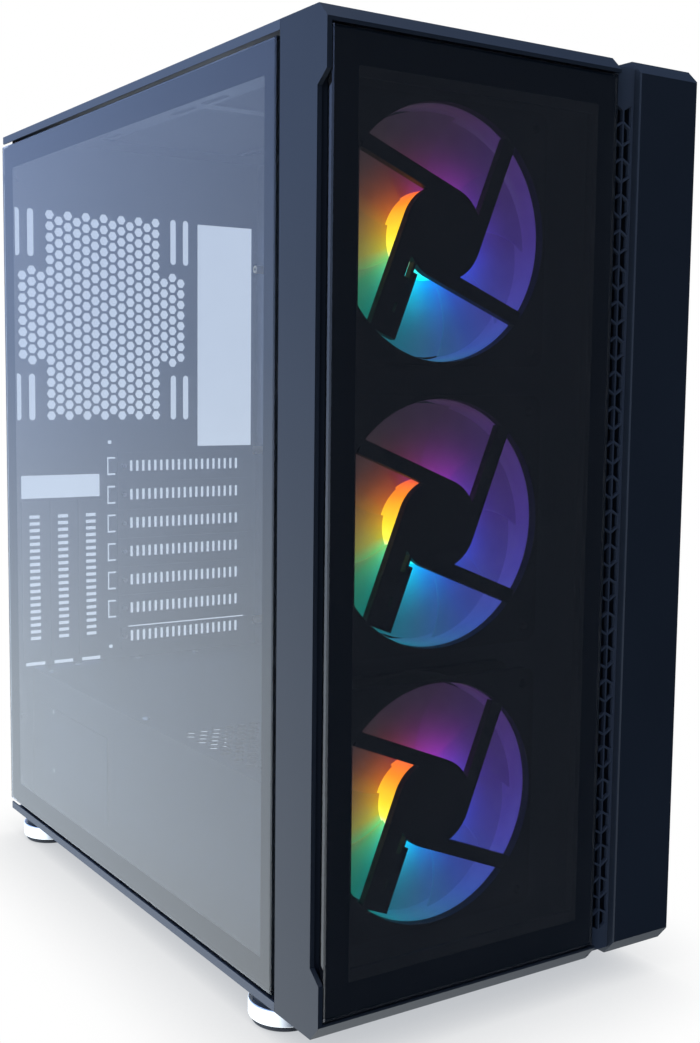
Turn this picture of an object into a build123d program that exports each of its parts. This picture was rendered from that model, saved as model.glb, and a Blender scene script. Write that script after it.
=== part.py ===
from build123d import *
import math
import os

os.makedirs("parts", exist_ok=True)

# A mid-tower computer case: a bent-sheet chassis, a moulded front bezel with a tinted glass
# front and a side pillar, a tempered-glass side panel, and three 120 mm front fans.
#
# Everything is drawn in the case's own frame: X = 0 on the centre plane with -X the glass side,
# Y = 0 on the bezel's front face with +Y towards the rear, Z = 0 on the underside of the floor.
# The last section moves it so that the origin is the middle of the footprint, under the feet.

# ---------------------------------------------------------------- driving dimensions (mm)
WIDTH = 220.0             # over both side panels
HEIGHT = 453.5            # underside of the floor to the roof
CHASSIS_DEPTH = 401.0     # bezel front to the rear edge of roof and floor
OVERALL_DEPTH = 412.0     # bezel front to the thumbscrew heads
SHEET = 1.0               # chassis steel
FOOT_HEIGHT = 16.0

BEZEL_DEPTH = 38.8
BEZEL_WALL = 2.4
CHAMFER_Y = 6.5           # bevel along the bezel's top and bottom front edges
CHAMFER_Z_TOP = 6.4
CHAMFER_Z_BOTTOM = 7.8
SIDE_INTAKE = 7.4         # how far the left wall is cut back for air
SIDE_INTAKE_Z = (33.2, 420.1)
SIDE_INTAKE_SLOPE = 5.8
GROOVE_X = (57.5, 70.5)   # recessed intake strip between the glass and the pillar
GROOVE_DEPTH = 4.5
GROOVE_TOP = HEIGHT - 4.0
GROOVE_BOTTOM = 4.0
GROOVE_GRILLE_Z = (14.0, 441.0)
GRILLE_HEX_SIDE = 5.77    # honeycomb side length, which gives cells 10 mm wide
GRILLE_WALL = 1.0

FRONT_GLASS_X = (-107.0, 56.2)
FRONT_GLASS_Z = (9.4, 444.6)
GLASS = 4.0
GLASS_SEAT_Y = 8.0        # front of the moulded flange that the front glass is fixed to
WALL_PIN_X = -100.7       # push-in pins that hold the bezel on the front frame
PILLAR_PIN_X = 90.0
PIN_Z = (50.0, 226.0, 402.0)
PIN_RADIUS = 2.5
BEZEL_WINDOW_X = (-89.0, 46.0)
BEZEL_WINDOW_Z = (28.0, 426.0)

FAN_SIZE = 120.0
FAN_THICKNESS = 25.0
FAN_HOLE_SPACING = 105.0
FAN_BORE = 58.5
FAN_X = -37.8
FAN_Z = (363.9, 230.1, 96.3)
FAN_FRONT_Y = 14.0
HUB_DISC = 21.5
IMPELLER_HUB = 20.5
IMPELLER_TIP = 56.5
BLADES = 9
BLADE_MIDDLE = 15.8       # middle of the blades behind the fan's front face
STRUT_ANGLE = -22.0       # direction of the first of four tangential struts
STRUT_WIDTH = 7.0
CABLE_STRUT_WIDTH = 15.0
CABLE_SLITS = ((22.2, -11.5, 10.0, 2.6), (20.5, -7.4, 6.0, 3.2), (42.0, -12.3, 5.0, 1.6))

FRONT_SHEET_Y = FAN_FRONT_Y + FAN_THICKNESS
REAR_WALL_Y = 397.8       # inner face of the rear wall
WALL_HALF_WIDTH = 104.5   # half width of the front and rear walls
RAIL = 4.5                # height of the turned edges of roof and floor

PANEL_Y = (43.0, 403.0)
PANEL_Z = (6.4, 447.4)
WINDOW_Y = (54.8, 386.4)  # clear part of the side glass
WINDOW_Z = (20.5, 432.4)
PANEL_TAB_Y = 401.2
PANEL_TAB = 1.2
THUMBSCREW_X = 99.5
THUMBSCREW_Z = (64.0, 428.0)
THUMBSCREW_HEAD = 4.5
THUMBSCREW_SHANK = 1.7

TRAY_X = 82.5             # motherboard tray, side facing the board
TRAY_Y = (112.0, REAR_WALL_Y)
BOARD_TOP = 410.0         # upper edge of an ATX board
BOARD_REAR = REAR_WALL_Y - 2.5
STANDOFF_HEIGHT = 6.5
BOARD_HOLE_COLUMNS = (6.35, 163.83, 233.68)
BOARD_HOLE_ROWS = (10.16, 165.1, 292.1)
BOARD_REAR_TOP_HOLE = 33.02

SHROUD_TOP = 98.0
SHROUD_SIDE_X = -92.5
SHROUD_FRONT_Y = 56.0
SHROUD_VENT_START = (-82.0, 66.0)
SHROUD_VENT_PITCH = 8.0
SHROUD_VENT_ROWS = 18
SHROUD_VENT_COLUMNS = 18
SHROUD_PLATE_Y = (268.0, 380.0)
SHROUD_PLATE_Z = (22.0, 77.0)

REAR_FAN_Z = 338.2
VENT_PITCH = 7.5
VENT_HOLE = 6.2
IO_X = (33.8, 78.3)
IO_Z = (248.3, 407.0)
SLOT_PITCH = 20.32
SLOT_TOP_Z = 235.2
SLOT_ROWS = 7
SLOT_X = (-28.0, 72.4)
SLOT_HALF = 7.2
CLAMP_X = -24.6           # line of screws that hold the slot covers
PERF_START_X = -18.7
PERF_PITCH = 4.66
PERF_COUNT = 19
PERF_SIZE = (2.3, 7.6)
COVER_HALF = 9.3
VERTICAL_SLOT_X = (-90.0, -69.7, -49.4)
VERTICAL_SLOT_Z = (112.0, 208.0)
VERTICAL_PERF_TOP = 201.7
PSU_X = -4.5
PSU_BASE = 5.0

CAGE_X = (-84.0, 70.0)
CAGE_Y = (62.0, 172.0)
CAGE_TOP = 90.0
DRIVE_TRAY_Z = (6.0, 48.0)

IO_STRIP_X = (-16.0, 102.0)
IO_STRIP_Y = (46.0, 64.0)
POWER_X = 88.0
RESET_X = 66.0
LED_X = 76.0
USB_X = (26.0, 46.0)
JACK_X = (-6.0, 8.0)
BUTTON_TRAVEL = 1.5

FOOT_X = 91.0
FOOT_Y = (60.5, 376.0)
FOOT_RING = 18.5
FOOT_PAD = 16.8
FOOT_NECK_HEIGHT = 4.5
FOOT_RING_HEIGHT = 8.5

parts = {}


# ---------------------------------------------------------------- shared helpers
def block(x, y, z):
    """Box between two limits on each axis."""
    size = [high - low for low, high in (x, y, z)]
    middle = [(high + low) / 2 for low, high in (x, y, z)]
    return Pos(*middle) * Box(*size)


def rod(radius, start, length, axis="Z"):
    """Round bar from a start point along +X, +Y or +Z."""
    turn = {"X": Rot(0, 90, 0), "Y": Rot(-90, 0, 0), "Z": Rot(0, 0, 0)}[axis]
    bar = Cylinder(radius, length, align=(Align.CENTER, Align.CENTER, Align.MIN))
    return Pos(*start) * turn * bar


def rectangle_wire(u, v):
    middle = Pos((u[0] + u[1]) / 2, (v[0] + v[1]) / 2)
    return (middle * Rectangle(u[1] - u[0], v[1] - v[0])).wire()


def circle_wire(u, v, radius):
    return (Pos(u, v) * Circle(radius)).wire()


def slot_wire(u, v, length, width, angle=0):
    return (Pos(u, v) * SlotOverall(length, width, rotation=angle)).wire()


def hexagon_wire(u, v, radius, angle=0):
    return (Pos(u, v) * RegularPolygon(radius, 6, rotation=angle)).wire()


def polygon_wire(points):
    return Wire.make_polygon([Vector(u, v) for u, v in points], close=True)


def sheet(normal, start, outline, cutouts=(), thickness=SHEET):
    """Flat sheet normal to X (drawn in Y, Z), to Y (in X, Z) or to Z (in X, Y)."""
    flat = extrude(Face(outline), amount=thickness, dir=(0, 0, 1))
    if cutouts:
        flat = flat - [extrude(Face(hole), amount=thickness, dir=(0, 0, 1)) for hole in cutouts]
    planes = {
        "X": Plane(origin=(start, 0, 0), x_dir=(0, 1, 0), z_dir=(1, 0, 0)),
        "Y": Plane(origin=(0, start + thickness, 0), x_dir=(1, 0, 0), z_dir=(0, -1, 0)),
        "Z": Plane(origin=(0, 0, start)),
    }
    return planes[normal].location * flat


def joined(pieces):
    """One solid from pieces that touch or overlap."""
    first, *rest = pieces
    return first.fuse(*rest).clean() if rest else first


def group(pieces):
    """Several separate solids of one kind, kept in one node."""
    return Compound(children=[Compound(piece.solids()) for piece in pieces])


# ---------------------------------------------------------------- chassis
def floor_pan():
    vents = [slot_wire(PSU_X + 10 * column, y, 46, 5, 90)
             for column in range(-5, 6) for y in (260, 316)]
    outline = rectangle_wire((-WIDTH / 2, WIDTH / 2), (FRONT_SHEET_Y, CHASSIS_DEPTH))
    foot_holes = [circle_wire(side * FOOT_X, y, 2.2) for side in (-1, 1) for y in FOOT_Y]
    plate = sheet("Z", 0, outline, vents + foot_holes)
    rails = [block(sorted((side * WIDTH / 2, side * (WIDTH / 2 - SHEET))),
                   (FRONT_SHEET_Y, CHASSIS_DEPTH), (0, RAIL)) for side in (-1, 1)]
    return joined([plate, *rails, *filter_rails()])


def roof_pan():
    outline = rectangle_wire((-WIDTH / 2, WIDTH / 2), (FRONT_SHEET_Y, CHASSIS_DEPTH))
    strip = rectangle_wire((IO_STRIP_X[0] + 2, IO_STRIP_X[1] - 2),
                           (IO_STRIP_Y[0] + 2, IO_STRIP_Y[1] - 2))
    fan_slots = [slot_wire(side * FAN_HOLE_SPACING / 2, y, 30, 4.5, 90)
                 for side in (-1, 1) for y in (100, 205, 245, 350)]
    intakes = [rectangle_wire((-47, 47), y) for y in ((86, 219), (231, 364))]
    plate = sheet("Z", HEIGHT - SHEET, outline, [strip, *fan_slots, *intakes])
    rails = [block(sorted((side * WIDTH / 2, side * (WIDTH / 2 - SHEET))),
                   (FRONT_SHEET_Y, CHASSIS_DEPTH), (HEIGHT - RAIL, HEIGHT)) for side in (-1, 1)]
    return joined([plate, *rails])


def vent_holes():
    """Hexagonal fan grille: a tall block of 13 columns with a wing of 3 on each side."""
    column_pitch = VENT_PITCH * math.sin(math.radians(60))
    holes = []
    for column in range(-9, 10):
        wing = abs(column) > 6
        count = (8 if abs(column) != 8 else 9) if wing else (19 if column % 2 == 0 else 18)
        for row in range(count):
            z = REAR_FAN_Z + (row - (count - 1) / 2) * VENT_PITCH
            holes.append(hexagon_wire(FAN_X + column * column_pitch, z, VENT_HOLE / 2 + 0.25))
    return holes


def notch_slit(z):
    """C-shaped slit around the screw tab of one slot cover."""
    left, right, half, width = -36.6, -30.2, 6.4, 1.3
    return polygon_wire([
        (right, z + half), (left, z + half), (left, z - half), (right, z - half),
        (right, z - half + width), (left + width, z - half + width),
        (left + width, z + half - width), (right, z + half - width)])


def rear_wall():
    slots = [slot_wire(FAN_X + side * offset, REAR_FAN_Z + up * 54.9, 31.5, 4.6, 90)
             for side in (-1, 1) for offset in (52.5, 62.25) for up in (-1, 1)]
    rows = [SLOT_TOP_Z - SLOT_PITCH * row for row in range(SLOT_ROWS)]
    slot_openings = [rectangle_wire(SLOT_X, (z - SLOT_HALF, z + SLOT_HALF)) for z in rows]
    slits = [notch_slit(z) for z in rows[:-1]]
    squares = [rectangle_wire((-36, -33), (z - 1.2, z + 1.2)) for z in (252.0, 106.7)]
    vertical = [rectangle_wire((x - SLOT_HALF, x + SLOT_HALF), VERTICAL_SLOT_Z)
                for x in VERTICAL_SLOT_X]
    tabs = [rectangle_wire((x - 7, x + 7), (98.6, 101.0)) for x in VERTICAL_SLOT_X]
    vertical_gap = rectangle_wire((-98.9, -42.1), (214.3, 230.0))
    io_opening = rectangle_wire(IO_X, IO_Z)
    psu_opening = rectangle_wire((PSU_X - 63, PSU_X + 63), (PSU_BASE + 12, PSU_BASE + 83))
    psu_holes = [circle_wire(PSU_X + x, PSU_BASE + z, 2.0)
                 for x, z in ((-69, 80), (69, 80), (-69, 16), (45, 6))]
    screws = [circle_wire(side * THUMBSCREW_X, z, 2.2) for side in (-1, 1) for z in THUMBSCREW_Z]
    cutouts = (vent_holes() + slots + slot_openings + slits + squares + vertical + tabs
               + [vertical_gap, io_opening, psu_opening] + psu_holes + screws)
    outline = rectangle_wire((-WALL_HALF_WIDTH, WALL_HALF_WIDTH), (SHEET, HEIGHT - SHEET))
    return sheet("Y", REAR_WALL_Y, outline, cutouts)


def front_frame():
    outline = rectangle_wire((-WALL_HALF_WIDTH, WALL_HALF_WIDTH), (SHEET, HEIGHT - SHEET))
    openings = [circle_wire(FAN_X, z, FAN_BORE - 0.5) for z in FAN_Z]
    half = FAN_HOLE_SPACING / 2
    holes = [circle_wire(FAN_X + dx * half, z + dz * half, 2.6)
             for z in FAN_Z for dx in (-1, 1) for dz in (-1, 1)]
    clips = [circle_wire(x, z, 2.8) for x in (WALL_PIN_X, PILLAR_PIN_X) for z in PIN_Z]
    return sheet("Y", FRONT_SHEET_Y, outline, openings + holes + clips)


def motherboard_tray():
    """Upright tray; its lower front corner is open where the drive trays slide out."""
    outline = polygon_wire([
        (CAGE_Y[1] + 24, SHEET), (TRAY_Y[1], SHEET), (TRAY_Y[1], HEIGHT - SHEET),
        (TRAY_Y[0], HEIGHT - SHEET), (TRAY_Y[0], SHROUD_TOP), (CAGE_Y[1] + 24, SHROUD_TOP)])
    backplate_window = rectangle_wire((228, 350), (282, 392))
    grommet_windows = [rectangle_wire((124, 146), (z, z + 62)) for z in GROMMET_Z]
    top_slot = rectangle_wire((190, 330), (424, 438))
    return sheet("X", TRAY_X, outline, [backplate_window, *grommet_windows, top_slot])


GROMMET_Z = (150.0, 300.0)


def board_holes():
    """Centres, in Y and Z, of the nine screws that an ATX board takes."""
    places = []
    for column in BOARD_HOLE_COLUMNS:
        for row in BOARD_HOLE_ROWS:
            is_rear_top = column == BOARD_HOLE_COLUMNS[0] and row == BOARD_HOLE_ROWS[0]
            drop = BOARD_REAR_TOP_HOLE if is_rear_top else row
            places.append((BOARD_REAR - column, BOARD_TOP - drop))
    return places


def standoffs():
    """Hexagonal stand-offs clinched onto the tray, threaded for the board's screws."""
    posts = []
    for y, z in board_holes():
        hexagon = extrude(RegularPolygon(2.9, 6), amount=STANDOFF_HEIGHT)
        post = hexagon - Cylinder(1.45, 3 * STANDOFF_HEIGHT)
        posts.append(Pos(TRAY_X, y, z) * Rot(0, -90, 0) * post)
    return group(posts)


def shroud_top():
    outline = rectangle_wire((SHROUD_SIDE_X, TRAY_X), (SHROUD_FRONT_Y, REAR_WALL_Y))
    cable_slot = slot_wire(TRAY_X - 14, 262, 80, 14, 90)
    row_pitch = SHROUD_VENT_PITCH * math.sin(math.radians(60))
    vents = []
    for row in range(SHROUD_VENT_ROWS):
        shift = SHROUD_VENT_PITCH / 2 * (row % 2)
        for column in range(SHROUD_VENT_COLUMNS - row % 2):
            x = SHROUD_VENT_START[0] + SHROUD_VENT_PITCH * column + shift
            vents.append(hexagon_wire(x, SHROUD_VENT_START[1] + row_pitch * row, 3.0, 30))
    return sheet("Z", SHROUD_TOP - SHEET, outline, [cable_slot, *vents])


def shroud_side():
    """Upright side of the shroud, notched over the heads of the foot screws."""
    wall = block((SHROUD_SIDE_X, SHROUD_SIDE_X + SHEET), (SHROUD_FRONT_Y, REAR_WALL_Y),
                 (SHEET, SHROUD_TOP - SHEET))
    notches = [block((SHROUD_SIDE_X - 1, SHROUD_SIDE_X + 2), (y - 5.5, y + 5.5), (0, 5))
               for y in FOOT_Y]
    return wall - notches


def shroud_plate():
    """Thin trim plate on the shroud's side, beside the power supply."""
    return block((SHROUD_SIDE_X - 0.8, SHROUD_SIDE_X), SHROUD_PLATE_Y, SHROUD_PLATE_Z)


def grommets():
    """Rubber lips that line the cable windows of the tray."""
    rings = []
    for z in GROMMET_Z:
        lips = [block(x, (121, 149), (z - 3, z + 65))
                for x in ((TRAY_X - 1.6, TRAY_X - 0.1), (TRAY_X + SHEET + 0.1, TRAY_X + SHEET + 1.6))]
        core = block((TRAY_X - 0.1, TRAY_X + SHEET + 0.1), (124.3, 145.7), (z + 0.3, z + 61.7))
        slit = block((TRAY_X - 5, TRAY_X + 5), (132, 138), (z + 6, z + 56))
        rings.append(joined([*lips, core]) - slit)
    return group(rings)


def rear_cover(narrow=False):
    """Perforated slot blank; its left end is held by a screw through the clamp strip."""
    top = SLOT_HALF - 0.8 if narrow else COVER_HALF
    left = SLOT_X[0] + 0.8 if narrow else SLOT_X[0] - 1.2
    outline = rectangle_wire((left, SLOT_X[1] + 3), (-COVER_HALF, top))
    start = PERF_START_X
    slots = [rectangle_wire((start + i * PERF_PITCH - PERF_SIZE[0] / 2,
                             start + i * PERF_PITCH + PERF_SIZE[0] / 2),
                            (-PERF_SIZE[1] / 2, PERF_SIZE[1] / 2)) for i in range(PERF_COUNT)]
    screw_hole = circle_wire(CLAMP_X, 0, 1.7)
    return sheet("Y", REAR_WALL_Y - SHEET, outline, [*slots, screw_hole])


def vertical_covers():
    blanks = []
    low, high = VERTICAL_SLOT_Z
    for x in VERTICAL_SLOT_X:
        outline = rectangle_wire((x - COVER_HALF, x + COVER_HALF), (low - 8, high + 4))
        slots = [rectangle_wire((x - PERF_SIZE[1] / 2, x + PERF_SIZE[1] / 2),
                                (VERTICAL_PERF_TOP - i * PERF_PITCH - PERF_SIZE[0] / 2,
                                 VERTICAL_PERF_TOP - i * PERF_PITCH + PERF_SIZE[0] / 2))
                 for i in range(PERF_COUNT)]
        blanks.append(sheet("Y", REAR_WALL_Y - SHEET, outline, slots))
    return group(blanks)


def machine_screw(head_radius, head_height, shank_radius, shank_length):
    """Pan-head screw standing on its shank tip, head up, with a cross recess."""
    shank = rod(shank_radius, (0, 0, 0), shank_length)
    head = rod(head_radius, (0, 0, shank_length), head_height)
    rim = head.edges().group_by(Axis.Z)[-1]
    head = fillet(rim, head_height * 0.45)
    top = shank_length + head_height
    cross = [Pos(0, 0, top) * Rot(0, 0, turn) * Box(head_radius * 1.1, 0.9, head_height)
             for turn in (0, 90)]
    return joined([shank, head]) - cross[0] - cross[1]


def slot_screws():
    """One screw through the clamp strip beside each slot row."""
    screw = Rot(-90, 0, 0) * machine_screw(3.2, 2.0, 1.5, 5.0)
    rows = [SLOT_TOP_Z - SLOT_PITCH * row for row in range(SLOT_ROWS)]
    return group([Pos(CLAMP_X, REAR_WALL_Y + SHEET + SHEET - 5.0, z) * screw for z in rows])


def clamp_strip():
    """Outer strip that presses on the screw ends of the slot blanks."""
    low = SLOT_TOP_Z - SLOT_PITCH * (SLOT_ROWS - 1) - 9
    outline = rectangle_wire((-28.8, -20.9), (low, SLOT_TOP_Z + 9))
    rows = [SLOT_TOP_Z - SLOT_PITCH * row for row in range(SLOT_ROWS)]
    holes = [circle_wire(CLAMP_X, z, 1.7) for z in rows]
    return sheet("Y", REAR_WALL_Y + SHEET, outline, holes)


def drive_cage():
    """Folded channel for two drive trays, open towards the right side of the case."""
    x, y = CAGE_X, CAGE_Y
    base = block(x, y, (SHEET, 2 * SHEET))
    front = block(x, (y[0], y[0] + SHEET), (SHEET, CAGE_TOP))
    back = block(x, (y[1] - SHEET, y[1]), (SHEET, CAGE_TOP))
    end = block((x[0], x[0] + SHEET), y, (SHEET, CAGE_TOP))
    ledges = [block(x, sorted((wall, wall + inward * 5)), (z - 2.2, z - 1.2))
              for z in DRIVE_TRAY_Z for wall, inward in ((y[0] + SHEET, 1), (y[1] - SHEET, -1))]
    return joined([base, front, back, end, *ledges])


def drive_tray(z):
    """Plastic sled for one 3.5 inch drive, with a finger pull at its right end."""
    x = (CAGE_X[0] + 3, CAGE_X[1] + 6)
    y = (CAGE_Y[0] + 1.6, CAGE_Y[1] - 1.6)
    base = block(x, y, (z, z + 2.5))
    rails = [block(x, (y[0], y[0] + 2.4), (z, z + 16)), block(x, (y[1] - 2.4, y[1]), (z, z + 16))]
    pull = block((x[1] - 3, x[1]), y, (z, z + 30))
    grip = block((x[1] - 4, x[1] + 1), (104, 130), (z + 12, z + 22))
    sled = joined([base, *rails, pull]) - grip
    return sled - block((x[0] + 20, x[1] - 40), (y[0] + 30, y[1] - 30), (z - 1, z + 4))


def ssd_bracket():
    """Plate for a 2.5 inch drive on the back of the tray."""
    x = TRAY_X + SHEET
    plate = block((x + 5, x + 6), (200, 276), (160, 264))
    feet = [block((x, x + 5), (y, y + 8), (z, z + 8)) for y in (200, 268) for z in (160, 256)]
    holes = [rod(1.6, (x + 4, y, z), 4, "X") for y in (207.0, 268.7) for z in (174.0, 250.6)]
    bracket = joined([plate, *feet])
    for hole in holes:
        bracket = bracket - hole
    return bracket


def fan_controller():
    """Lighting and fan hub on the back of the tray, with two rows of sockets."""
    x = TRAY_X + SHEET
    case = block((x, x + 11), (156, 218), (300, 352))
    case = chamfer(case.edges().filter_by(Axis.X), 3)
    sockets = [block((x + 7, x + 12), (y, y + 6), (306 + 9 * i, 312 + 9 * i))
               for y in (159, 209) for i in range(5)]
    for socket in sockets:
        case = case - socket
    return case


def psu_pads():
    """Four foam strips that the power supply sits on."""
    return group([block((PSU_X + dx, PSU_X + dx + 12), (y, y + 60), (SHEET, PSU_BASE))
                  for dx in (-72, 60) for y in (232, 312)])


# ---------------------------------------------------------------- dust filters
def framed_filter(x, y, z, border, mesh):
    """Filter frame with its mesh as one thin sheet inside the border."""
    frame = block(x, y, z)
    lift = z[1] - z[0] - mesh
    pocket = block((x[0] + border, x[1] - border), (y[0] + border, y[1] - border),
                   (z[0] + mesh, z[0] + mesh + lift + 1))
    return chamfer(frame.edges().filter_by(Axis.Z), 4) - pocket


def bottom_filter():
    grip = block((PSU_X - 20, PSU_X + 20), (394, 399), (-6.5, -1.8))
    tray = framed_filter((PSU_X - 66, PSU_X + 66), (232, 396), (-3.3, -1.8), 6, 0.5)
    return joined([tray, grip])


def filter_rails():
    """Guide rails under the floor for the bottom filter."""
    rails = []
    for side in (-1, 1):
        edge = PSU_X + side * 66.4
        web = block(sorted((edge, edge + side * 1.6)), (228, 396), (-4.9, 0))
        lip = block(sorted((edge - side * 3, edge + side * 1.6)), (228, 396), (-4.9, -3.7))
        rails.append(joined([web, lip]))
    return rails


# ---------------------------------------------------------------- feet
def foot_places():
    return [(side * FOOT_X, y) for side in (-1, 1) for y in FOOT_Y]


def foot_ring(x, y):
    """Bright metal ring of one foot."""
    top = -FOOT_NECK_HEIGHT
    ring = rod(FOOT_RING, (x, y, top - FOOT_RING_HEIGHT), FOOT_RING_HEIGHT)
    ring = fillet(ring.edges(), 0.8)
    return ring - rod(13.0, (x, y, top - FOOT_RING_HEIGHT - 1), FOOT_RING_HEIGHT + 2)


def foot_core(x, y):
    """Black core: a collar against the floor and a stem inside the ring."""
    collar = rod(FOOT_RING - 2.2, (x, y, -FOOT_NECK_HEIGHT), FOOT_NECK_HEIGHT)
    stem = rod(13.0, (x, y, -FOOT_NECK_HEIGHT - FOOT_RING_HEIGHT), FOOT_RING_HEIGHT)
    return joined([collar, stem]) - rod(1.8, (x, y, -10), 20)


def foot_pad(x, y):
    """Rubber disc under the ring."""
    bottom = -FOOT_HEIGHT
    height = FOOT_HEIGHT - FOOT_NECK_HEIGHT - FOOT_RING_HEIGHT
    disc = rod(FOOT_PAD, (x, y, bottom), height)
    return fillet(disc.edges().group_by(Axis.Z)[0], 1.0)


def foot_screws():
    """Screws that hold the feet, heads inside the case."""
    screw = machine_screw(3.6, 2.2, 1.7, 10.0)
    return group([Pos(x, y, SHEET - 10.0) * screw for x, y in foot_places()])


# ---------------------------------------------------------------- front bezel
def bezel_profile(front=0.0):
    """Side outline of the bezel, in Y and Z, with its two bevelled front edges."""
    return [(BEZEL_DEPTH, 0), (CHAMFER_Y, 0), (front, CHAMFER_Z_BOTTOM),
            (front, HEIGHT - CHAMFER_Z_TOP), (CHAMFER_Y, HEIGHT), (BEZEL_DEPTH, HEIGHT)]


def profile_bar(points, x):
    """Prism of a Y-Z outline between two X positions."""
    return sheet("X", x[0], polygon_wire(points), thickness=x[1] - x[0])


def bezel_frame():
    """Left wall, top, bottom and the flange that carries the front glass."""
    low, high = SIDE_INTAKE_Z
    wall_outline = [(BEZEL_DEPTH, 0), (CHAMFER_Y, 0), (0, CHAMFER_Z_BOTTOM),
                    (0, low - SIDE_INTAKE_SLOPE), (SIDE_INTAKE, low), (SIDE_INTAKE, high),
                    (0, high + SIDE_INTAKE_SLOPE), (0, HEIGHT - CHAMFER_Z_TOP),
                    (CHAMFER_Y, HEIGHT), (BEZEL_DEPTH, HEIGHT)]
    left_wall = profile_bar(wall_outline, (-WIDTH / 2, -WIDTH / 2 + BEZEL_WALL))
    span = (-WIDTH / 2, GROOVE_X[0])
    t = BEZEL_WALL
    top = profile_bar([(BEZEL_DEPTH, HEIGHT), (CHAMFER_Y, HEIGHT), (0, HEIGHT - CHAMFER_Z_TOP),
                       (0, FRONT_GLASS_Z[1] + 0.8), (t, FRONT_GLASS_Z[1] + 0.8),
                       (CHAMFER_Y + 1, HEIGHT - t), (BEZEL_DEPTH, HEIGHT - t)], span)
    bottom = profile_bar([(BEZEL_DEPTH, 0), (CHAMFER_Y, 0), (0, CHAMFER_Z_BOTTOM),
                          (0, FRONT_GLASS_Z[0] - 0.6), (t, FRONT_GLASS_Z[0] - 0.6),
                          (CHAMFER_Y + 1, t), (BEZEL_DEPTH, t)], span)
    seat = sheet("Y", GLASS_SEAT_Y, rectangle_wire((-WIDTH / 2 + 1, GROOVE_X[0]), (2, HEIGHT - 2)),
                 [rectangle_wire(BEZEL_WINDOW_X, BEZEL_WINDOW_Z)], 2.0)
    groove_side = block((GROOVE_X[0] - 1.2, GROOVE_X[0]), (GROOVE_DEPTH, BEZEL_DEPTH - 20),
                        (2, HEIGHT - 2))
    bridge_span = (GROOVE_X[0], GROOVE_X[1])
    upper_bridge = block(bridge_span, (GROOVE_DEPTH + 2, BEZEL_DEPTH),
                         (GROOVE_TOP - 3, GROOVE_TOP))
    lower_bridge = block(bridge_span, (GROOVE_DEPTH + 2, BEZEL_DEPTH),
                         (GROOVE_BOTTOM, GROOVE_BOTTOM + 3))
    pins = []
    for z in PIN_Z:
        pins.append(block((-WIDTH / 2 + 1, WALL_PIN_X + 2.5), (30, 37), (z - 6, z + 6)))
        pins.append(rod(PIN_RADIUS, (WALL_PIN_X, 36, z), 8.0, "Y"))
    return joined([left_wall, top, bottom, seat, groove_side, upper_bridge, lower_bridge, *pins])


def pillar():
    """Hollow column on the right of the front, closed on every side but its back."""
    x = (GROOVE_X[1], WIDTH / 2)
    solid = profile_bar(bezel_profile(), x)
    t = BEZEL_WALL
    hollow = profile_bar([(BEZEL_DEPTH + 1, t), (CHAMFER_Y + 1, t), (t, CHAMFER_Z_BOTTOM + 1),
                          (t, HEIGHT - CHAMFER_Z_TOP - 1), (CHAMFER_Y + 1, HEIGHT - t),
                          (BEZEL_DEPTH + 1, HEIGHT - t)], (x[0] + t, x[1] - t))
    front_edges = solid.edges().filter_by(Axis.Z).group_by(Axis.Y)[0]
    shell = chamfer(front_edges, 0.6) - hollow
    posts = []
    for z in PIN_Z:
        posts.append(rod(5.0, (PILLAR_PIN_X, 1.2, z), 35.8, "Y"))
        posts.append(rod(PIN_RADIUS, (PILLAR_PIN_X, 36, z), 8.0, "Y"))
    return joined([shell, *posts])


def groove_cells():
    """Honeycomb cells; an upright rib runs through the middle and splits the centre column."""
    centre = (GROOVE_X[0] + GROOVE_X[1]) / 2
    half_wall = GRILLE_WALL / 2
    reach = GRILLE_HEX_SIDE * math.cos(math.radians(30)) - half_wall
    peak = reach / math.cos(math.radians(30))
    slope = math.tan(math.radians(30))
    offset = GRILLE_HEX_SIDE * math.cos(math.radians(30))
    edge = (GROOVE_X[1] - GROOVE_X[0]) / 2 - GRILLE_WALL
    cell_a = [(half_wall, peak - half_wall * slope), (reach, peak / 2)]
    cell_b = [(offset - reach, peak / 2), (offset, peak), (edge, peak - (edge - offset) * slope)]
    period = 3 * GRILLE_HEX_SIDE
    low, high = GROOVE_GRILLE_Z
    cells = []
    for row in range(int((high - low) / period)):
        z = low + GRILLE_HEX_SIDE + row * period
        for upper, middle in ((cell_a, z), (cell_b, z + period / 2)):
            for side in (-1, 1):
                top = [(centre + side * u, middle + v) for u, v in upper]
                bottom = [(centre + side * u, middle - v) for u, v in reversed(upper)]
                cells.append(top + bottom)
    return cells


def groove_grille():
    outline = rectangle_wire(GROOVE_X, (GROOVE_BOTTOM, GROOVE_TOP))
    cells = [polygon_wire(cell) for cell in groove_cells()]
    return sheet("Y", GROOVE_DEPTH, outline, cells, 2.0)


def front_glass():
    pane = block(FRONT_GLASS_X, (0, GLASS), FRONT_GLASS_Z)
    return chamfer(pane.edges().group_by(Axis.Y)[0], 0.7)


def glass_spacers():
    """Foam blocks between the front glass and its seat."""
    low, high = FRONT_GLASS_Z
    places = [(x, z) for x in (-97.0, 52.0) for z in (low + 14, (low + high) / 2, high - 14)]
    return group([block((x - 3, x + 3), (GLASS, GLASS_SEAT_Y), (z - 12, z + 12))
                  for x, z in places])




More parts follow.
